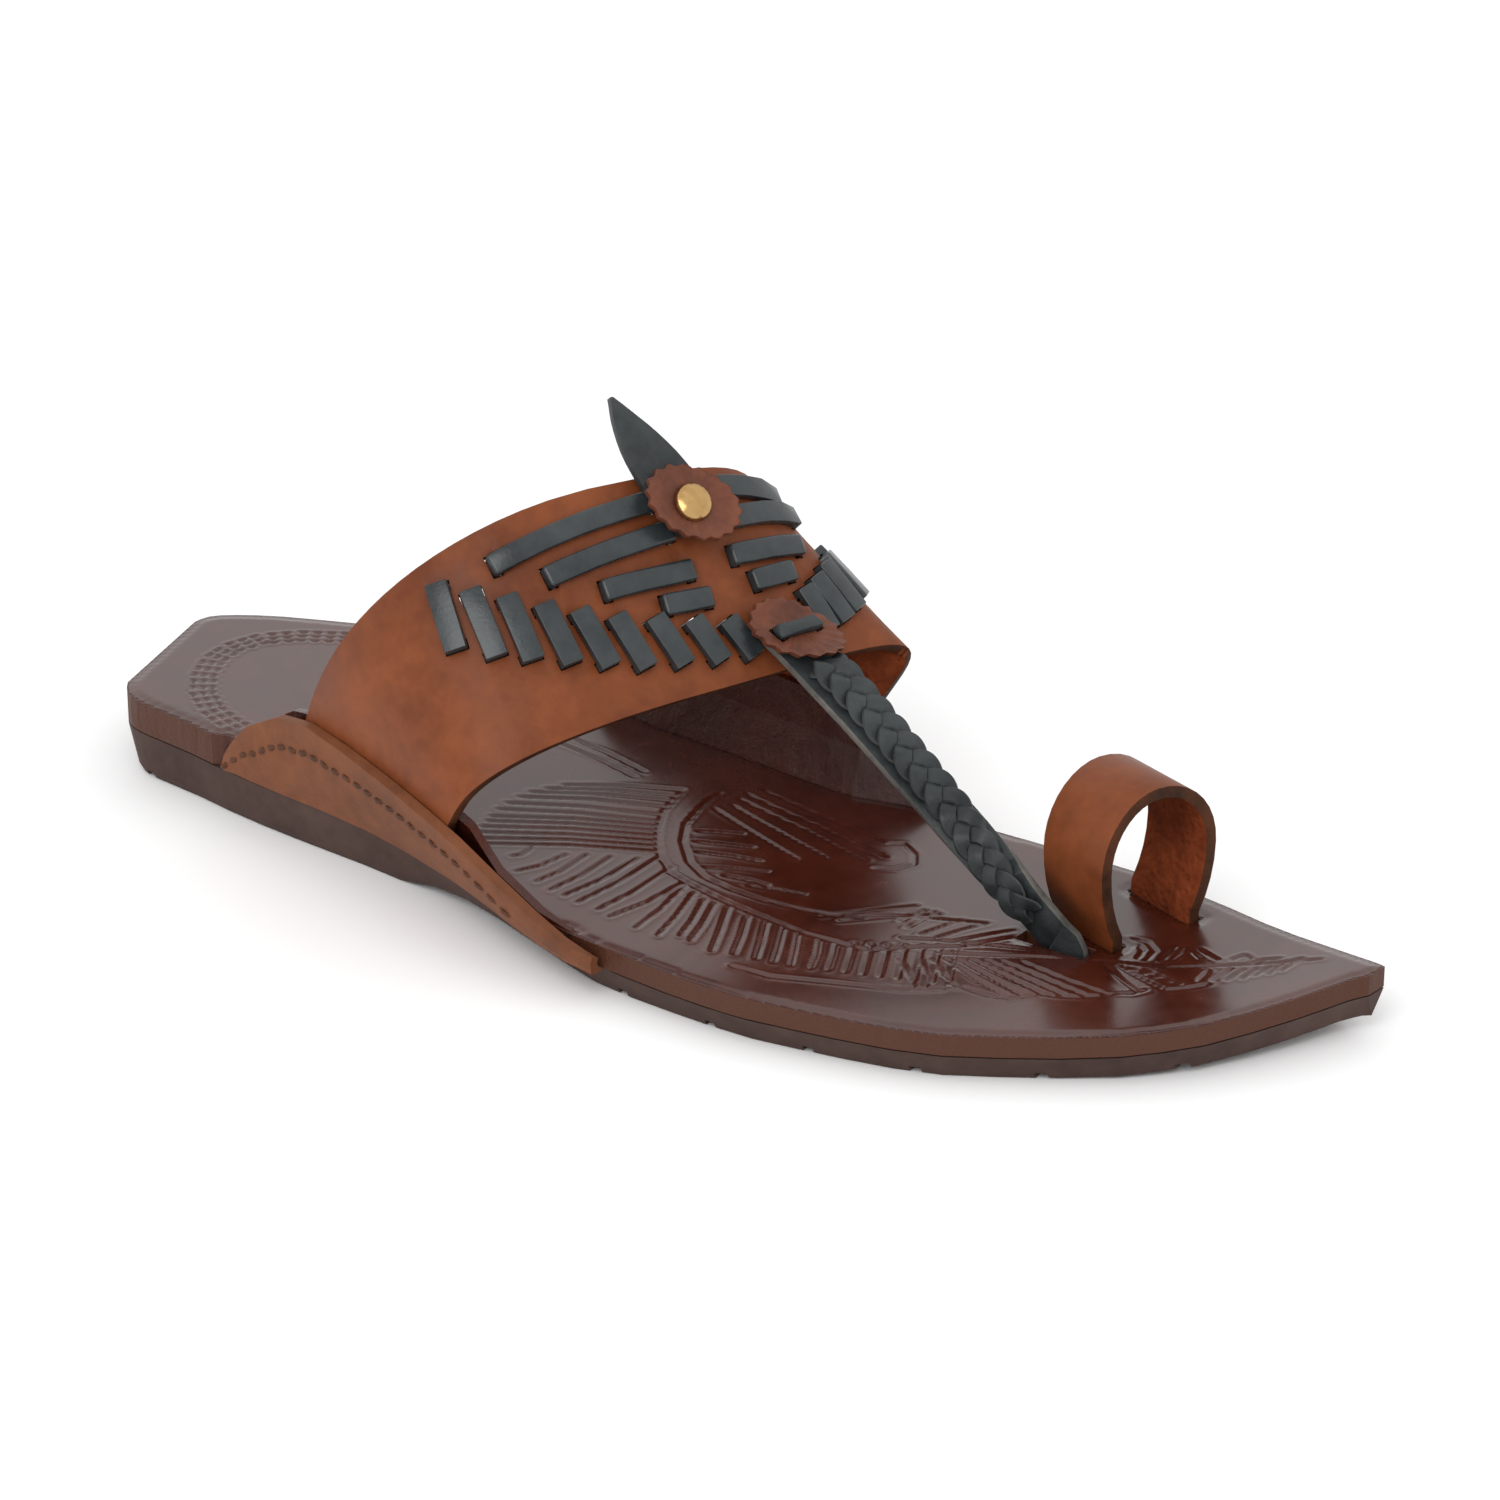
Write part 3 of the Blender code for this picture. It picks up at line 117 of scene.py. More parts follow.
# Tooling lines on the insole's top, in millimetres along and across
TOOL_LINES = (
    ((76.8, -34.7), (90.8, -23.2), (105.8, -13.2)),
    ((75, -33.4), (89.1, -21.7), (104.3, -11.6)),
    ((73.8, -31.2), (87.9, -19.9), (103.1, -10)),
    ((72.8, -29), (86.8, -17.8), (101.9, -8.2)),
    ((72.3, -26.4), (86, -15.6), (100.8, -6.3)),
    ((71.7, -24.3), (85.2, -13.7), (99.9, -4.6)),
    ((71.1, -21), (84.5, -11.1), (99, -2.8)),
    ((70.9, -17.7), (83.8, -8.1), (97.8, -0.1)),
    ((71.3, -14), (83.3, -4.6), (96.4, 3.1)),
    ((71.9, -10.7), (83.2, -1.6), (95.6, 5.9)),
    ((73.5, -7.3), (83.7, 1.2), (95.1, 8.1)),
    ((75.3, -3.7), (84.6, 4.5), (95, 11.2)),
    ((101.7, 15.5), (101.4, 11), (102.1, 6.2), (103.4, -0.2), (107, -6.7), (112.8, -12.8), (118.8, -16),
     (126, -16.8), (133.4, -16.7), (142.6, -15.7), (150.3, -13.7), (158.8, -7.9), (163.1, -5.8), (176.4,
     -0.1)),
    ((95, 11.5), (95.8, 6.5), (97.1, 0.9), (100.1, -5), (103.2, -9.9), (106.7, -14.3), (112.3, -18.8),
     (117.3, -20), (126.8, -21.6), (137.4, -22.7), (148.1, -24), (162.1, -23.3), (168.3, -17.8), (181.3,
     -7.9)),
    ((104.3, 9.1), (116.9, 5.6), (130, 1.8)),
    ((106.2, 12.7), (120.3, 9.5), (134.3, 5.9)),
    ((105.7, 16), (123.4, 13.7), (141.3, 9.3)),
    ((105.5, 18.8), (124.8, 16.7), (144, 12.9)),
    ((107.4, 22.4), (123.9, 20.7), (139.7, 18.4)),
    ((140.6, 18.1), (143.5, 20.1), (147.8, 17.4), (150.2, 13.5), (148, 9.2), (144.1, 7.5)),
    ((107, -1), (111, 1.9), (115.3, 4.2)),
    ((109.1, -4.8), (114.3, -1.9), (120.1, 0.8)),
    ((111.8, -8.1), (118.2, -5.1), (124.5, -3.3)),
    ((116.4, -12.5), (121.7, -9.1), (128.1, -6.1)),
    ((121.6, -12.8), (126.6, -11.4), (131.3, -11)),
    ((128, -13.5), (133.9, -11.2), (139.6, -9.9)),
    ((146.9, -16), (154, -8), (160.4, -1.5)),
    ((151, -15.9), (158.4, -8.6), (166.4, -2)),
    ((84.5, -34.7), (85.7, -32.8), (85.6, -29.1)),
    ((88.7, -39.2), (91.2, -33.9), (92.5, -26.7)),
    ((94.2, -39.9), (95.6, -32.8), (95.6, -23.9)),
    ((98.3, -40.8), (99.6, -32), (99.7, -21.3)),
    ((101.6, -40.7), (103.6, -30.4), (104.3, -18.2)),
    ((105.2, -41.1), (106.8, -29), (107.1, -14.9)),
    ((109.9, -40.7), (111.3, -29.7), (111.4, -16.8)),
    ((113.3, -41.4), (115.7, -31.9), (116.8, -20.4)),
    ((119.9, -41.9), (119.5, -32.6), (117.8, -21.3)),
    ((125.1, -41.6), (123.6, -33.1), (120.8, -22.5)),
    ((128.6, -38.9), (127, -32.3), (124, -23.7)),
    ((131.4, -39.5), (129.6, -32.5), (126.5, -23.7)),
    ((137.1, -40.5), (133.9, -32.9), (129.5, -23.2)),
    ((141.4, -39.1), (138.8, -32.7), (134.9, -24.5)),
    ((146.2, -38.4), (143.3, -32.2), (139.1, -24)),
    ((149.8, -37.7), (147.1, -31.8), (143.1, -23.9)),
    ((153.4, -37), (150.8, -31.9), (147, -24.8)),
    ((157.2, -35.6), (154.9, -29.9), (152, -24.6)),
    ((160.5, -34.4), (157.7, -28), (155.1, -23.1)),
    ((163.7, -33.3), (160.5, -26.1), (158.2, -21.7)),
    ((167, -32.1), (163.3, -24.3), (161.4, -20.3)),
    ((170.2, -31), (166.1, -22.4), (164.5, -18.9)),
    ((173.5, -29.8), (168.9, -20.5), (167.3, -17)),
    ((176.7, -28.7), (171.7, -18.7), (170.1, -15.2)),
    ((180, -27.5), (174.5, -16.8), (173, -13.3)),
    ((183.2, -26.4), (177.3, -14.9), (175.8, -11.4)),
    ((143.9, -43.4), (152.4, -42.8), (165, -37.7), (177.1, -33)),
    ((63.6, 13.9), (74.3, 13.7), (84.9, 12.3)),
    ((64, 10.2), (74, 10.4), (84.5, 9.1)),
    ((174.7, -16.2), (182.8, -12), (190.7, -7.4), (203.5, -1.1), (214.8, 2.6), (222.9, 7.8), (230.9,
     13.3), (240.4, 19.3)),
    ((164.9, -15.2), (170.7, -12.3), (176.8, -9.7), (183, -7.3), (189.1, -4.9)),
    ((200.4, 6.8), (201.1, 8.9), (204.5, 7.5), (204.8, 4.4), (204, 1.9)),
    ((203, 10), (206.1, 10.5), (209.5, 7.9), (210, 3.2)),
    ((205.6, 8.2), (207.5, 6.8), (208.2, 3)),
    ((212.6, 5.1), (212.2, 8.4), (212, 11.4)),
    ((215.1, 6), (214.9, 8.9), (214.5, 12)),
    ((215.6, 11.6), (218.8, 9.2)),
    ((216.5, 12.6), (222.2, 10.4)),
    ((224.4, 11.8), (225.7, 14.8), (227.8, 13.9)),
    ((228.4, 12.6), (230.1, 14.8), (232.8, 16.6)),
    ((235.1, 16.3), (236.4, 18), (238.4, 17.6)),
    ((204.5, -2.8), (209.7, -6), (215.6, -9.1)),
    ((205.9, -1.3), (212.4, -3.6), (218.7, -5.6)),
    ((208.7, -1), (214.6, -2.3), (220.3, -3.1)),
    ((212.1, -0.5), (217.2, -1.6), (221.3, -2.4)),
    ((223.3, 0.6), (222.8, 5.3)),
    ((225.8, 2), (226.3, 8.4)),
    ((228, 3.4), (228.7, 9.3)),
    ((230.3, 5.2), (230.8, 10.8)),
    ((231.9, 7.5), (232.7, 12.8)),
    ((233.9, 9.2), (234.1, 14.2)),
    ((235.5, 11.5), (236.1, 15.8)),
    ((176.3, -33.3), (180.6, -30.4), (183, -28.3)),
    ((186.6, -25.6), (191.2, -25.7), (195.8, -24.6), (199.2, -20.4)),
    ((199.4, -19.5), (203.3, -18.5), (206.7, -16.7), (209.8, -14.3), (212.1, -12)),
    ((211.9, -11.7), (214.8, -10.3), (216.5, -7.6)),
    ((219.1, -6.2), (222.6, -3.4), (225.7, 0.2)),
    ((169.7, -22.9), (174.5, -27.1), (178.1, -31.3)),
    ((172.6, -20.1), (177.4, -25.2), (179.9, -30)),
    ((175.1, -19.3), (180, -23.4), (185, -26.6)),
    ((177.3, -17.8), (186.4, -21.6), (194.9, -24.4)),
    ((179.1, -16.6), (188.5, -19.4), (197.2, -22.1)),
    ((181.3, -15.1), (191.4, -17.4), (200.9, -19.4)),
    ((183.9, -13.7), (194.1, -15.7), (204.3, -17.7)),
    ((186.8, -12.3), (196.8, -13.9), (207.5, -15.5)),
    ((190.2, -10.4), (199.3, -11.8), (210.4, -12.9)),
    ((161.1, -9.2), (161.8, -5.4), (162.8, -2.1)),
    ((163.7, -10.9), (164.3, -5.7), (164.8, -1.6)),
    ((167.4, -11.8), (169.3, -6.3), (171.1, -1.7)),
    ((170.8, -11.2), (173.3, -5.3), (176.2, 0)),
    ((174.3, -10.6), (178.3, -4.6), (182.1, 0.5)),
    ((177.4, -10.7), (181.5, -4.9), (185.3, 0.2)),
    ((202.2, 3.7), (203.8, 3.4)),
)
# Middle line of the stamped border round the heel, in millimetres
HEEL_BORDER = (
    (16.0, -27.6), (4.4, -24.7), (-2.8, -21.8), (-9.7, -16.3), (-14.7, -9.4), (-18.0, -1.8), (-18.3, 5.4),
    (-16.0, 11.9), (-10.2, 17.8), (-2.6, 22.2), (4.9, 26.6), (14.0, 29.4), (26.0, 31.0),
)
STAMP_STEP = 3.1 * MM
STAMP_ROWS = (-2.1 * MM, 0.0, 2.1 * MM)
STAMP_ALONG = 0.9
STAMP_ACROSS = 0.75
STAMP_APART = 0.35
STAMP_BACK = 0.35
STAMP_FORTH = 0.55

# Plait on the thong strap: point, width direction, face direction (mm) and half width (mm)
PLAIT_FRAMES = (
    ((126.83, 13.83, 47.55), (-0.25, -0.965, -0.079), (0.44, -0.186, 0.879), 5.43),
    ((131.1, 12.91, 45.26), (-0.245, -0.967, -0.071), (0.43, -0.174, 0.886), 5.37),
    ((135.38, 11.99, 42.99), (-0.243, -0.968, -0.066), (0.435, -0.17, 0.885), 5.29),
    ((139.66, 11.07, 40.7), (-0.247, -0.966, -0.074), (0.434, -0.179, 0.883), 5.19),
    ((143.94, 10.15, 38.41), (-0.26, -0.961, -0.1), (0.427, -0.207, 0.88), 5.09),
    ((148.22, 9.24, 36.12), (-0.276, -0.952, -0.133), (0.417, -0.243, 0.876), 5),
    ((152.49, 8.32, 33.83), (-0.296, -0.939, -0.176), (0.403, -0.29, 0.868), 4.91),
    ((156.77, 7.4, 31.53), (-0.322, -0.918, -0.23), (0.386, -0.35, 0.854), 4.81),
    ((161.05, 6.48, 29.2), (-0.354, -0.886, -0.299), (0.363, -0.424, 0.829), 4.73),
    ((165.33, 5.56, 26.83), (-0.403, -0.82, -0.406), (0.319, -0.542, 0.778), 4.66),
    ((169.61, 4.64, 24.42), (-0.459, -0.697, -0.551), (0.234, -0.693, 0.682), 4.59),
    ((173.89, 3.72, 22.04), (-0.494, -0.521, -0.696), (0.118, -0.833, 0.54), 4.53),
    ((178.16, 2.81, 19.75), (-0.491, -0.26, -0.831), (-0.037, -0.947, 0.318), 4.45),
    ((182.44, 1.89, 17.47), (-0.479, 0.028, -0.877), (-0.175, -0.982, 0.065), 4.4),
    ((186.72, 0.97, 14.98), (-0.491, 0.103, -0.865), (-0.209, -0.978, 0.002), 4.4),
)
PLAIT_CROSSINGS = 9.0
PLAIT_STEPS = 190
PLAIT_ENDS = (0.03, 0.965)
PLAIT_END_RISE = 0.4
PLAIT_SWING = 0.52
PLAIT_TAPER = 0.35
PLAIT_BASE = 0.6 * MM
PLAIT_MIDDLE = (0.85 * MM, 2.1 * MM)
PLAIT_WAVE = 1.0 * MM
STRAND_COUNT = 3
STRAND_WIDTH = 4.6 * MM
STRAND_THICKNESS = 1.25 * MM
STRAND_LOOP = ((1, 0), (0.86, 0.8), (0, 1.15), (-0.86, 0.8), (-1, 0), (-0.86, -0.8), (0, -1), (0.86, -0.8))

# Stitches along the ears
STITCH_LENGTH = 3.6 * MM
STITCH_RADIUS = 0.55 * MM
STITCH_FLATNESS = 0.8
STITCH_SIDES = 8
STITCH_ARCH = 0.45 * MM
STITCH_SINK = 0.2 * MM
STITCH_DROP = 6.2 * MM
STITCH_HEM = 1.4 * MM
STITCH_RUN_IN = 18 * MM
STITCH_END = 0.55
EAR_REACH = 0.12
EAR_CEILING = 0.080
EAR_FLOOR = 0.012
EAR_SCAN = 0.4 * MM
EAR_STEP = 0.5 * MM

# Ear, side of the foot, first and last stitch along the foot
EAR_STITCHES = (("ear_lateral", -1, 0.001, 0.100), ("ear_medial", 1, 0.010, 0.110))

# Creases of the rosettes
CREASE_COUNT = 22
CREASE_DEPTH = 0.22 * MM
ROSETTE_RADIUS = 8 * MM


def clear_selection():
    """Deselect everything."""
    for o in bpy.data.objects:
        o.select_set(False)


def pick(obj):
    """Make one object the only selected and active one."""
    clear_selection()
    obj.select_set(True)
    bpy.context.view_layer.objects.active = obj


def set_piece(obj, slot, *nodes):
    """Let a finished piece ride and stand for its nodes; its slot is not used."""
    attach(obj, "root")
    if nodes:
        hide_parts(*nodes)
    return obj


def merged_copy(node, name):
    """Own copy of a node's mesh with its doubles merged."""
    source = frame["nodes"][node]
    mesh = source.data.copy()
    obj = bpy.data.objects.new(name, mesh)
    bpy.context.scene.collection.objects.link(obj)
    pick(obj)
    bpy.ops.object.mode_set(mode="EDIT")
    bpy.ops.mesh.select_all(action="SELECT")
    bpy.ops.mesh.remove_doubles(threshold=MERGE_REACH)
    bpy.ops.object.mode_set(mode="OBJECT")
    return obj


def smooth(obj, degrees):
    """Smooth shading below an angle."""
    pick(obj)
    bpy.ops.object.shade_smooth_by_angle(angle=math.radians(degrees))


def round_edges(obj, width, segments, degrees):
    """Bevel the sharp edges and apply."""
    pick(obj)
    bevel = obj.modifiers.new("round", "BEVEL")
    bevel.width = width
    bevel.segments = segments
    bevel.limit_method = "ANGLE"
    bevel.angle_limit = math.radians(degrees)
    bevel.use_clamp_overlap = True
    bpy.ops.object.modifier_apply(modifier=bevel.name)


def smoothstep(low, high, value):
    """Soft step between two values."""
    t = min(max((value - low) / (high - low), 0.0), 1.0)
    return t * t * (3 - 2 * t)


# Shader groups

def new_group(name, inputs, outputs):
    """Node group with named float or colour sockets."""
    tree = bpy.data.node_groups.new(name, "ShaderNodeTree")
    for label, kind, value in inputs:
        socket = tree.interface.new_socket(label, in_out="INPUT", socket_type=kind)
        socket.default_value = value
    for label, kind in outputs:
        tree.interface.new_socket(label, in_out="OUTPUT", socket_type=kind)
    return tree, tree.nodes.new("NodeGroupInput"), tree.nodes.new("NodeGroupOutput")


def noise(tree, vector, scale, detail=4.0, rough=0.6):
    """Noise texture on a vector; scale may be a number or a socket."""
    node = tree.nodes.new("ShaderNodeTexNoise")
    tree.links.new(vector, node.inputs["Vector"])
    if isinstance(scale, (int, float)):
        node.inputs["Scale"].default_value = scale
    else:
        tree.links.new(scale, node.inputs["Scale"])
    node.inputs["Detail"].default_value = detail
    node.inputs["Roughness"].default_value = rough
    return node.outputs["Fac"]


def maths(tree, kind, a, b):
    """Math node on two sockets or numbers."""
    node = tree.nodes.new("ShaderNodeMath")
    node.operation = kind
    for i, value in enumerate((a, b)):
        if isinstance(value, (int, float)):
            node.inputs[i].default_value = value
        else:
            tree.links.new(value, node.inputs[i])
    return node.outputs[0]


def spread(tree, value, low, high, to_low=0.0, to_high=1.0):
    """Map Range node."""
    node = tree.nodes.new("ShaderNodeMapRange")
    tree.links.new(value, node.inputs["Value"])
    for label, number in (("From Min", low), ("From Max", high), ("To Min", to_low), ("To Max", to_high)):
        node.inputs[label].default_value = number
    return node.outputs["Result"]


def make_grain_group():
    """Hide grain: fine pores over slow folds."""
    tree, gin, gout = new_group(
        "hide_grain", [("Scale", "NodeSocketFloat", 900.0), ("Pores", "NodeSocketFloat", 0.5)],
        [("Height", "NodeSocketFloat"), ("Tone", "NodeSocketFloat")])
    coord = tree.nodes.new("ShaderNodeTexCoord").outputs["Object"]
    cells = tree.nodes.new("ShaderNodeTexVoronoi")
    cells.feature = "SMOOTH_F1"
    tree.links.new(coord, cells.inputs["Vector"])
    tree.links.new(gin.outputs["Scale"], cells.inputs["Scale"])
    pores = maths(tree, "MULTIPLY", cells.outputs["Distance"], gin.outputs["Pores"])
    fine = noise(tree, coord, maths(tree, "MULTIPLY", gin.outputs["Scale"], 2.2), 3.0)
    height = maths(tree, "ADD", pores, maths(tree, "MULTIPLY", fine, 0.5))
    slow = noise(tree, coord, 34.0, 4.0)
    mottle = noise(tree, coord, 210.0, 3.0)
    tone = maths(tree, "ADD", maths(tree, "MULTIPLY", slow, 0.65), maths(tree, "MULTIPLY", mottle, 0.35))
    tree.links.new(height, gout.inputs["Height"])
    tree.links.new(spread(tree, tone, 0.36, 0.64), gout.inputs["Tone"])
    return tree


def make_side_group():
    """Mask of the faces that stand upright, with a brushed irregular limit."""
    tree, gin, gout = new_group(
        "side_mask", [("Low", "NodeSocketFloat", 0.35), ("High", "NodeSocketFloat", 0.75)],
        [("Side", "NodeSocketFloat")])
    geometry = tree.nodes.new("ShaderNodeNewGeometry")
    split = tree.nodes.new("ShaderNodeSeparateXYZ")
    tree.links.new(geometry.outputs["Normal"], split.inputs[0])
    coord = tree.nodes.new("ShaderNodeTexCoord").outputs["Object"]
    ragged = maths(tree, "MULTIPLY", maths(tree, "SUBTRACT", noise(tree, coord, 260.0), 0.5), 0.25)
    up = maths(tree, "ADD", maths(tree, "ABSOLUTE", split.outputs["Z"], 0.0), ragged)
    place = tree.nodes.new("ShaderNodeSeparateXYZ")
    tree.links.new(coord, place.inputs[0])
    top = maths(tree, "ADD", spread(tree, place.outputs["X"], 0.050, 0.125, 0.0182, 0.0112),
                spread(tree, place.outputs["X"], 0.200, 0.252, 0.0, 0.0042))
    below = spread(tree, maths(tree, "SUBTRACT", place.outputs["Z"], top), 0.0, 0.0005, 1.0, 0.0)
    node = tree.nodes.new("ShaderNodeMapRange")
    tree.links.new(up, node.inputs["Value"])
    tree.links.new(gin.outputs["Low"], node.inputs["From Min"])
    tree.links.new(gin.outputs["High"], node.inputs["From Max"])
    node.inputs["To Min"].default_value = 1.0
    node.inputs["To Max"].default_value = 0.0
    inner = spread(tree, place.outputs["Y"], 0.0, 0.012, 0.0, 0.036)
    along = maths(tree, "SUBTRACT", place.outputs["X"], inner)
    bare = maths(tree, "MAXIMUM", spread(tree, place.outputs["X"], 0.004, 0.010, 1.0, 0.0),
                 spread(tree, along, 0.108, 0.112))
    cover = maths(tree, "MULTIPLY", below, bare)
    tree.links.new(maths(tree, "MULTIPLY", node.outputs["Result"], cover), gout.inputs["Side"])
    return tree


def leather(name, dark, light, rough, scale, pores, depth, gloss=0.0, side=None, wrinkle=0.0, metal=0.0,
            shine=0.3):
    """Leather-like finish from two tones, a roughness pair and its grain."""
    mat = bpy.data.materials.new(name)
    mat.use_nodes = True
    tree = mat.node_tree
    bsdf = tree.nodes["Principled BSDF"]
    grain = tree.nodes.new("ShaderNodeGroup")
    grain.node_tree = GRAIN
    grain.inputs["Scale"].default_value = scale
    grain.inputs["Pores"].default_value = pores
    mix = tree.nodes.new("ShaderNodeMix")
    mix.data_type = "RGBA"
    mix.inputs[6].default_value = (*dark, 1)
    mix.inputs[7].default_value = (*light, 1)
    tree.links.new(grain.outputs["Tone"], mix.inputs[0])
    colour = mix.outputs[2]
    rough_value = spread(tree, grain.outputs["Tone"], 0.0, 1.0, rough[0], rough[1])
    if side:
        mask = tree.nodes.new("ShaderNodeGroup")
        mask.node_tree = SIDE
        over = tree.nodes.new("ShaderNodeMix")
        over.data_type = "RGBA"
        tree.links.new(mask.outputs["Side"], over.inputs[0])
        tree.links.new(colour, over.inputs[6])
        over.inputs[7].default_value = (*side, 1)
        colour = over.outputs[2]
        rough_value = maths(tree, "ADD", rough_value, maths(tree, "MULTIPLY", mask.outputs["Side"], 0.25))
        tree.links.new(spread(tree, mask.outputs["Side"], 0.0, 1.0, gloss, 0.0), bsdf.inputs["Coat Weight"])
    tree.links.new(colour, bsdf.inputs["Base Color"])
    tree.links.new(rough_value, bsdf.inputs["Roughness"])
    bsdf.inputs["Metallic"].default_value = metal
    bsdf.inputs["Specular IOR Level"].default_value = shine
    height = grain.outputs["Height"]
    if wrinkle:
        coord = tree.nodes.new("ShaderNodeTexCoord").outputs["Object"]
        mapping = tree.nodes.new("ShaderNodeMapping")
        mapping.inputs["Scale"].default_value = (1.0, 0.6, 0.35)
        tree.links.new(coord, mapping.inputs["Vector"])
        creases = noise(tree, mapping.outputs[0], 240.0, 3.0, 0.55)
        height = maths(tree, "ADD", maths(tree, "MULTIPLY", creases, wrinkle), height)
    bump = tree.nodes.new("ShaderNodeBump")
    bump.inputs["Strength"].default_value = 0.7
    bump.inputs["Distance"].default_value = depth
    tree.links.new(height, bump.inputs["Height"])
    tree.links.new(bump.outputs[0], bsdf.inputs["Normal"])
    bsdf.inputs["Coat Weight"].default_value = gloss
    bsdf.inputs["Coat Roughness"].default_value = 0.16
    return mat


def dress(node, mat):
    """Put a material on a carried-over node."""
    node.material_slots[0].link = "OBJECT"
    node.material_slots[0].material = mat


def clothe(obj, *materials):
    """Put materials on a new piece's own mesh."""
    obj.data.materials.clear()
    for mat in materials:
        obj.data.materials.append(mat)


# Pieces

def shell_faces(obj, wall, inside):
    """Sort a shell's faces: 0 outer, 1 inner, 2 rim. inside(point) is a point within the shell."""
    tree = BVHTree.FromPolygons([v.co for v in obj.data.vertices], [p.vertices for p in obj.data.polygons])
    for face in obj.data.polygons:
        hit = tree.ray_cast(face.center - face.normal * RAY_START, -face.normal, wall * 3)
        if hit[0] is None or hit[3] > wall * 1.5:
            face.material_index = 2
        else:
            face.material_index = 0 if face.normal.dot(face.center - inside(face.center)) > 0 else 1


def make_shell(node, name, slot, wall, inside, bevel, materials):
    """Smoothed copy of a band or ring, outer face, flesh side and cut rim each its own finish."""
    obj = merged_copy(node, name)
    clothe(obj, *materials)
    shell_faces(obj, wall, inside)
    round_edges(obj, bevel, 2, SHELL_ANGLE)
    smooth(obj, SHADE_ANGLE)
    return set_piece(obj, slot, node)


def make_strip(node, name, slot, bevel, material, segments=2, swell=0.0):
    """Rounded copy of a lace, bar or tail, swollen to fill its slits."""
    obj = merged_copy(node, name)
    if swell:
        pick(obj)
        bpy.ops.object.mode_set(mode="EDIT")
        bpy.ops.mesh.select_all(action="SELECT")
        bpy.ops.transform.shrink_fatten(value=swell)
        bpy.ops.object.mode_set(mode="OBJECT")
    clothe(obj, material)
    round_edges(obj, bevel, segments, STRIP_ANGLE)
    smooth(obj, SHADE_ANGLE)
    return set_piece(obj, slot, node)


def tool_segments():
    """All tooling lines as short points, each with its share of the groove's depth."""
    points = []
    lines = [[Vector((x * MM, y * MM)) for x, y in line] for line in TOOL_LINES]
    lines += stamp_lines()
    for line in lines:
        length = 0.0
        total = sum((b - a).length for a, b in zip(line, line[1:]))
        for a, b in zip(line, line[1:]):
            span = (b - a).length
            steps = max(1, int(span / LINE_STEP))
            for i in range(steps):
                done = length + span * i / steps
                taper = min(1.0, GROOVE_END + min(done, total - done) / GROOVE_TAPER)
                points.append((a.lerp(b, i / steps), taper))
            length += span
    return points


def stamp_lines():
    """Paired leaf stamps, three rows along the heel's border."""
    path = [Vector((x * MM, y * MM)) for x, y in HEEL_BORDER]
    lines = []
    total = 0.0
    for a, b in zip(path, path[1:]):
        way = (b - a).normalized()
        side = Vector((-way.y, way.x))
        span = (b - a).length
        at = -total % STAMP_STEP
        while at < span:
            for row in STAMP_ROWS:
                for turn in (-1, 1):
                    middle = a + way * at + side * row + way * STAMP_APART * turn * MM
                    lean = (way * STAMP_ALONG * turn + side * STAMP_ACROSS) * MM
                    lines.append([middle - lean * STAMP_BACK, middle + lean * STAMP_FORTH])
            at += STAMP_STEP
        total += span
    return lines


def node_tree(node):
    """Search tree of a node's faces."""
    mesh = frame["nodes"][node].data
    return BVHTree.FromPolygons([v.co for v in mesh.vertices], [p.vertices for p in mesh.polygons])


def flat_tree(places):
    """Search tree of places seen from above."""
    tree = kdtree.KDTree(len(places))
    for i, place in enumerate(places):
        tree.insert((place.x, place.y, 0), i)
    tree.balance()
    return tree


def side_limit(x):
    """Height above which a place belongs to the insole's turned-up sides."""
    return 0.0205 if x < 0.06 else (0.0165 if x < 0.12 else 0.0150)


def lay_face(bm, tree, low, high):
    """Drop a unit grid onto the insole's top and cut away what misses it."""
    gone = []
    for vert in bm.verts:
        x = low[0] + (vert.co.x + 0.5) * (high[0] - low[0])
        y = low[1] + (vert.co.y + 0.5) * (high[1] - low[1])
        hit = tree.ray_cast(Vector((x, y, RAY_HEIGHT)), Vector((0, 0, -1)))
        if hit[0] is None or hit[1].z < FACE_LEVEL or hit[0].z > side_limit(x):
            gone.append(vert)
            vert.co = (x, y, 0)
        else:
            vert.co = (x, y, hit[0].z)
    bmesh.ops.delete(bm, geom=gone, context="VERTS")


def press_face(bm, points):
    """Raise the grain layer off the insole and press the tooling lines into it."""
    near = flat_tree([place for place, _ in points])
    edge = [v for v in bm.verts if v.is_boundary or len(v.link_faces) < 4]
    rim = flat_tree([v.co for v in edge])
    for vert in bm.verts:
        flat = (vert.co.x, vert.co.y, 0)
        border = rim.find(flat)[2]
        lift = FACE_LIFT * smoothstep(0.0, FACE_BORDER, border)
        _, index, distance = near.find(flat)
        depth = GROOVE_DEPTH * points[index][1]
        groove = depth * (1 - smoothstep(GROOVE_FLAT, GROOVE_REACH, distance))
        shoulder = SHOULDER_RISE * math.exp(-((distance - SHOULDER_PLACE) / SHOULDER_WIDTH) ** 2)
        inland = smoothstep(0, GROOVE_MARGIN, border)
        vert.co.z += max(lift - groove * inland, FACE_LEAST_LIFT) + shoulder * inland


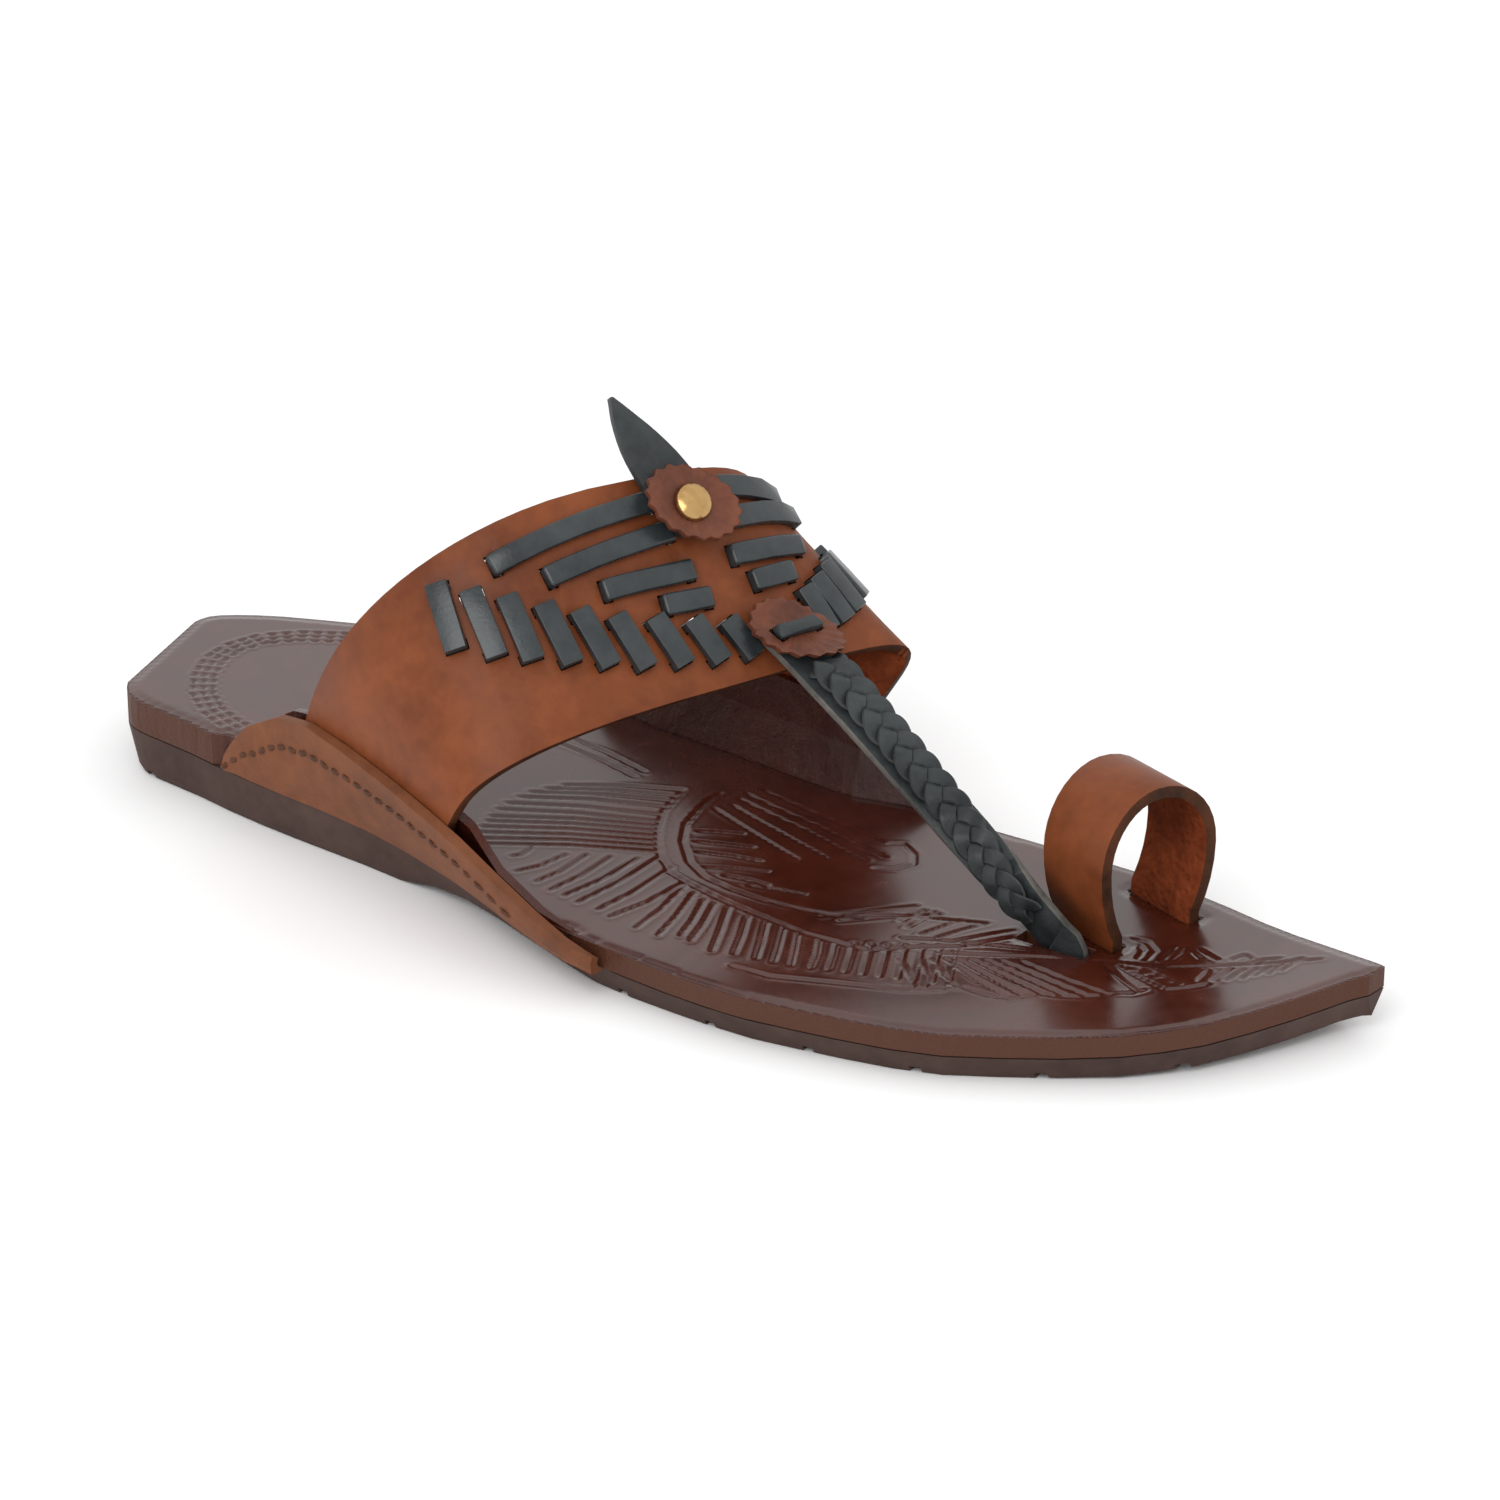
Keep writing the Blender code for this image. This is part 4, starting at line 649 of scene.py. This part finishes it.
def make_insole_face():
    """Thin tooled grain layer pressed with the feather, on the insole's top."""
    low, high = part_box("insole")
    clear_selection()
    bpy.ops.mesh.primitive_grid_add(
        x_subdivisions=int((high[0] - low[0]) / TOOL_CELL), y_subdivisions=int((high[1] - low[1]) / TOOL_CELL),
        size=1.0, location=(0, 0, 0))
    obj = bpy.context.object
    obj.name = "insole_face"
    bm = bmesh.new()
    bm.from_mesh(obj.data)
    lay_face(bm, node_tree("insole"), low, high)
    press_face(bm, tool_segments())
    bmesh.ops.delete(bm, geom=[v for v in bm.verts if not v.link_faces], context="VERTS")
    grown = bmesh.ops.extrude_edge_only(bm, edges=[e for e in bm.edges if e.is_boundary])["geom"]
    for vert in [g for g in grown if isinstance(g, bmesh.types.BMVert)]:
        vert.co.z -= FACE_SKIRT
    bm.to_mesh(obj.data)
    bm.free()
    clothe(obj, INSOLE_LEATHER)
    pick(obj)
    bpy.ops.object.shade_smooth()
    return set_piece(obj, "glazed_insole_leather")


def new_piece(name, bm):
    """Object from a finished bmesh."""
    mesh = bpy.data.meshes.new(name)
    bm.to_mesh(mesh)
    bm.free()
    obj = bpy.data.objects.new(name, mesh)
    bpy.context.scene.collection.objects.link(obj)
    return obj


def join_rings(bm, rings):
    """Close a row of rings into one body."""
    for a, b in zip(rings, rings[1:]):
        for k in range(len(a)):
            bm.faces.new((a[k], a[(k + 1) % len(a)], b[(k + 1) % len(a)], b[k]))
    bm.faces.new(list(reversed(rings[0])))
    bm.faces.new(rings[-1])


def add_stitch(bm, path, normals):
    """One stitch along a path; its ends taper and close."""
    rings = []
    for i, point in enumerate(path):
        way = (path[min(i + 1, len(path) - 1)] - path[max(i - 1, 0)]).normalized()
        side = way.cross(normals[i]).normalized()
        rise = side.cross(way).normalized()
        size = STITCH_RADIUS * (STITCH_END if i in (0, len(path) - 1) else 1.0)
        turns = [2 * math.pi * k / STITCH_SIDES for k in range(STITCH_SIDES)]
        rings.append([bm.verts.new(point + side * math.cos(turn) * size
                                   + rise * math.sin(turn) * size * STITCH_FLATNESS) for turn in turns])
    join_rings(bm, rings)


def ear_course(tree, side, start, end):
    """Places and normals along an ear's outside, below its top edge."""
    course = []
    inward = Vector((0, -side, 0))
    x = start
    while x <= end:
        top = None
        z = EAR_CEILING
        while z > EAR_FLOOR:
            if tree.ray_cast(Vector((x, side * EAR_REACH, z)), inward)[0] is not None:
                top = z
                break
            z -= EAR_SCAN
        if top is not None:
            share = smoothstep(start, start + STITCH_RUN_IN, x)
            height = top - STITCH_HEM - (STITCH_DROP - STITCH_HEM) * share
            hit = tree.ray_cast(Vector((x, side * EAR_REACH, height)), inward)
            if hit[0] is not None:
                course.append((hit[0], hit[1]))
        x += EAR_STEP
    return course


def make_ear_stitches(node, name, side, start, end):
    """Waxed thread stitches below an ear's top edge, in short sunk lengths."""
    course = ear_course(node_tree(node), side, start, end)
    bm = bmesh.new()
    length = 0.0
    begin = 0
    for i in range(1, len(course)):
        length += (course[i][0] - course[i - 1][0]).length
        if length > STITCH_LENGTH:
            run = course[begin:i + 1]
            run = run[:-2] if len(run) > 5 else run
            arches = [math.sin(math.pi * k / (len(run) - 1)) for k in range(len(run))]
            path = [point + normal * (STITCH_ARCH * arch - STITCH_SINK)
                    for (point, normal), arch in zip(run, arches)]
            add_stitch(bm, path, [normal for _, normal in run])
            begin = i
            length = 0.0
    obj = new_piece(name, bm)
    clothe(obj, THREAD)
    smooth(obj, 50)
    return set_piece(obj, "pale_ear_leather")


def plait_frame(t):
    """Point, width and face of the plait at a share of its length."""
    at = t * (len(PLAIT_FRAMES) - 1)
    i = min(int(at), len(PLAIT_FRAMES) - 2)
    f = at - i
    a, b = PLAIT_FRAMES[i], PLAIT_FRAMES[i + 1]
    point = Vector(a[0]).lerp(Vector(b[0]), f) * MM
    width = Vector(a[1]).lerp(Vector(b[1]), f).normalized()
    face = Vector(a[2]).lerp(Vector(b[2]), f).normalized()
    return point, width, face, (a[3] + (b[3] - a[3]) * f) * MM


def plait_path(strand):
    """Places and face directions along one strand of the plait."""
    path = []
    faces = []
    for i in range(PLAIT_STEPS + 1):
        t = i / PLAIT_STEPS
        point, width, face, half = plait_frame(t)
        turn = math.pi * PLAIT_CROSSINGS * t + strand * 2 * math.pi / STRAND_COUNT
        taper = 1 - PLAIT_TAPER * t
        ends = min(smoothstep(0, PLAIT_ENDS[0], t), 1 - smoothstep(PLAIT_ENDS[1], 1.0, t))
        rise = PLAIT_MIDDLE[0] + PLAIT_MIDDLE[1] * taper + PLAIT_WAVE * taper * math.sin(2 * turn)
        path.append(point + width * math.sin(turn) * half * PLAIT_SWING
                    + face * (PLAIT_BASE + rise * (PLAIT_END_RISE + (1 - PLAIT_END_RISE) * ends)))
        faces.append(face)
    return path, faces


def make_plait():
    """Three flat leather strips plaited on the strap."""
    bm = bmesh.new()
    for strand in range(STRAND_COUNT):
        path, faces = plait_path(strand)
        rings = []
        for i, place in enumerate(path):
            way = (path[min(i + 1, PLAIT_STEPS)] - path[max(i - 1, 0)]).normalized()
            side = way.cross(faces[i]).normalized()
            lift = side.cross(way).normalized()
            taper = 1 - PLAIT_TAPER * i / PLAIT_STEPS
            w = STRAND_WIDTH / 2 * taper
            h = STRAND_THICKNESS / 2 * taper
            rings.append([bm.verts.new(place + side * w * a + lift * h * b) for a, b in STRAND_LOOP])
        join_rings(bm, rings)
    bmesh.ops.recalc_face_normals(bm, faces=bm.faces)
    obj = new_piece("thong_plait", bm)
    clothe(obj, THONG_LEATHER)
    smooth(obj, 50)
    return set_piece(obj, "black_thong_leather", "thong_braid")


def make_rosette(node, name):
    """Creased copy of a rosette: shallow rays pressed from the middle to the rim."""
    obj = merged_copy(node, name)
    pick(obj)
    fine = obj.modifiers.new("fine", "SUBSURF")
    fine.subdivision_type = "SIMPLE"
    fine.levels = 2
    fine.render_levels = 2
    bpy.ops.object.modifier_apply(modifier=fine.name)
    smooth(obj, 60)
    middle = sum((v.co for v in obj.data.vertices), Vector()) / len(obj.data.vertices)
    normals = [v.normal.copy() for v in obj.data.vertices]
    axis = sum((p.normal * p.area for p in obj.data.polygons if p.normal.z > 0.2), Vector()).normalized()
    side = axis.cross(Vector((0, 0, 1))).normalized()
    up = side.cross(axis)
    for v, n in zip(obj.data.vertices, normals):
        away = v.co - middle
        flat = away - axis * away.dot(axis)
        angle = math.atan2(flat.dot(up), flat.dot(side))
        share = min(flat.length / ROSETTE_RADIUS, 1.0)
        if n.dot(axis) > 0.3:
            v.co -= axis * CREASE_DEPTH * share * (0.5 + 0.5 * math.cos(CREASE_COUNT * angle))
    clothe(obj, ROSETTE_LEATHER)
    return set_piece(obj, "rosette_leather", node)


def make_stage():
    """Plain pale floor."""
    clear_selection()
    bpy.ops.mesh.primitive_plane_add(size=FLOOR_SIZE, location=FLOOR_PLACE)
    floor = bpy.context.object
    floor.name = "floor"
    mat = bpy.data.materials.new("pale_floor")
    mat.use_nodes = True
    bsdf = mat.node_tree.nodes["Principled BSDF"]
    bsdf.inputs["Base Color"].default_value = (0.97, 0.97, 0.97, 1)
    bsdf.inputs["Roughness"].default_value = 0.9
    bsdf.inputs["Specular IOR Level"].default_value = 0.1
    floor.data.materials.append(mat)


def add_light(name, place, target, size, power):
    """Soft square light aimed at a place."""
    light = bpy.data.lights.new(name, "AREA")
    light.shape = "RECTANGLE"
    light.size, light.size_y = size
    light.energy = power
    obj = bpy.data.objects.new(name, light)
    obj.location = place
    obj.rotation_euler = (Vector(target) - Vector(place)).to_track_quat("-Z", "Y").to_euler()
    bpy.context.scene.collection.objects.link(obj)


def make_camera():
    """Camera at the photograph's angle."""
    level = math.cos(CAMERA_RISE)
    back = Vector((math.sin(CAMERA_TURN) * level, -math.cos(CAMERA_TURN) * level, math.sin(CAMERA_RISE)))
    camera = bpy.data.cameras.new("camera")
    camera.lens = LENS
    camera.sensor_width = SENSOR
    camera.clip_start = 0.01
    obj = bpy.data.objects.new("camera", camera)
    obj.location = CAMERA_TARGET + back * CAMERA_DISTANCE
    obj.rotation_euler = (-back).to_track_quat("-Z", "Y").to_euler()
    bpy.context.scene.collection.objects.link(obj)
    bpy.context.scene.camera = obj


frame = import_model()
clear_selection()
GRAIN = make_grain_group()
SIDE = make_side_group()
RUBBER = leather(
    "mauve_rubber", (0.045, 0.024, 0.020), (0.085, 0.052, 0.043), (0.55, 0.72), 1500, 0.3, 0.00006, shine=0.15)
INSOLE_LEATHER = leather(
    "glazed_insole", (0.036, 0.0060, 0.0028), (0.070, 0.013, 0.006), (0.20, 0.30), 1400, 0.15, 0.000035,
    gloss=0.35, shine=0.5)
INSOLE_BODY = leather(
    "glazed_insole_body", (0.036, 0.0060, 0.0030), (0.070, 0.014, 0.006), (0.22, 0.36), 1400, 0.2, 0.00060,
    gloss=0.25, side=(0.075, 0.023, 0.010), wrinkle=3.0, shine=0.32)
BAND_OUT = leather(
    "tan_band", (0.130, 0.031, 0.0085), (0.225, 0.060, 0.018), (0.40, 0.54), 1300, 0.3, 0.00006, shine=0.22)
SUEDE = leather(
    "suede_side", (0.110, 0.022, 0.007), (0.290, 0.065, 0.021), (0.90, 1.0), 700, 1.6, 0.00060, shine=0.1)
RAW_RIM = leather(
    "cut_rim", (0.026, 0.009, 0.004), (0.100, 0.034, 0.014), (0.6, 0.8), 900, 1.0, 0.00025, shine=0.15)
EAR_LEATHER = leather(
    "tan_ear", (0.110, 0.036, 0.014), (0.205, 0.072, 0.031), (0.52, 0.68), 900, 0.7, 0.00018, shine=0.2)
THREAD = leather("waxed_thread", (0.045, 0.014, 0.006), (0.10, 0.034, 0.013), (0.5, 0.6), 2500, 1.0, 0.00010)
LACE_LEATHER = leather(
    "blue_black_lace", (0.010, 0.014, 0.016), (0.036, 0.044, 0.047), (0.24, 0.38), 1100, 0.4, 0.00010,
    gloss=0.15, shine=0.45)
THONG_LEATHER = leather(
    "black_thong", (0.010, 0.013, 0.014), (0.042, 0.048, 0.050), (0.36, 0.55), 900, 0.6, 0.00018, shine=0.35)
WORN_EDGE = leather(
    "worn_edge", (0.030, 0.031, 0.030), (0.20, 0.185, 0.165), (0.6, 0.8), 700, 1.0, 0.00022, shine=0.2)
ROSETTE_LEATHER = leather(
    "rosette_brown", (0.066, 0.018, 0.009), (0.185, 0.058, 0.029), (0.42, 0.6), 900, 0.6, 0.00018, shine=0.3)
BRASS = leather(
    "hammered_brass", (0.36, 0.20, 0.07), (0.70, 0.46, 0.20), (0.22, 0.40), 420, 2.2, 0.00030, metal=1.0, shine=0.5)

for node, finish in (("outsole", RUBBER), ("insole", INSOLE_BODY), ("ear_lateral", EAR_LEATHER),
                     ("ear_medial", EAR_LEATHER)):
    dress(frame["nodes"][node], finish)

make_camera()
make_shell("instep_band", "instep_band_leather", "tan_band_leather", BAND_WALL,
           lambda p: Vector((p.x, 0.0, FOOT_MIDDLE_HEIGHT)), SHELL_ROUND, (BAND_OUT, SUEDE, RAW_RIM))
make_shell("toe_ring", "toe_ring_leather", "tan_band_leather", RING_WALL,
           lambda p: RING_MIDDLE + Vector(((p.x - RING_MIDDLE.x) * 0.9, 0, 0)), SHELL_ROUND,
           (BAND_OUT, SUEDE, RAW_RIM))
for node in sorted(frame["nodes"]):
    if node.startswith("lacing_"):
        make_strip(node, node + "_strip", "black_thong_leather", LACE_ROUND, LACE_LEATHER, 4, LACE_SWELL)
make_strip("tail", "tail_blade", "black_thong_leather", TAIL_ROUND, THONG_LEATHER)
make_strip("rosette_tie", "rosette_tie_strip", "black_thong_leather", THIN_ROUND, THONG_LEATHER)
make_strip("rivet", "rivet_head", "brass", THIN_ROUND, BRASS, 3)
backing = make_strip("thong_strap", "thong_backing", "black_thong_leather", THIN_ROUND, THONG_LEATHER)
clothe(backing, THONG_LEATHER, THONG_LEATHER, WORN_EDGE)
shell_faces(backing, THONG_WALL, lambda p: p - Vector((0, 0, 0.01)))
make_rosette("rosette_upper", "rosette_upper_creased")
make_rosette("rosette_lower", "rosette_lower_creased")
make_plait()
make_insole_face()
for ear, ear_side, first, last in EAR_STITCHES:
    make_ear_stitches(ear, ear + "_stitches", ear_side, first, last)
make_stage()

world = bpy.data.worlds.new("studio")
bpy.context.scene.world = world
world.use_nodes = True
world.node_tree.nodes["Background"].inputs[0].default_value = (1, 1, 1, 1)
world.node_tree.nodes["Background"].inputs[1].default_value = SKY_STRENGTH
bpy.context.scene.view_settings.view_transform = "Standard"
add_light("key", KEY_PLACE, KEY_TARGET, KEY_SIZE, KEY_POWER)
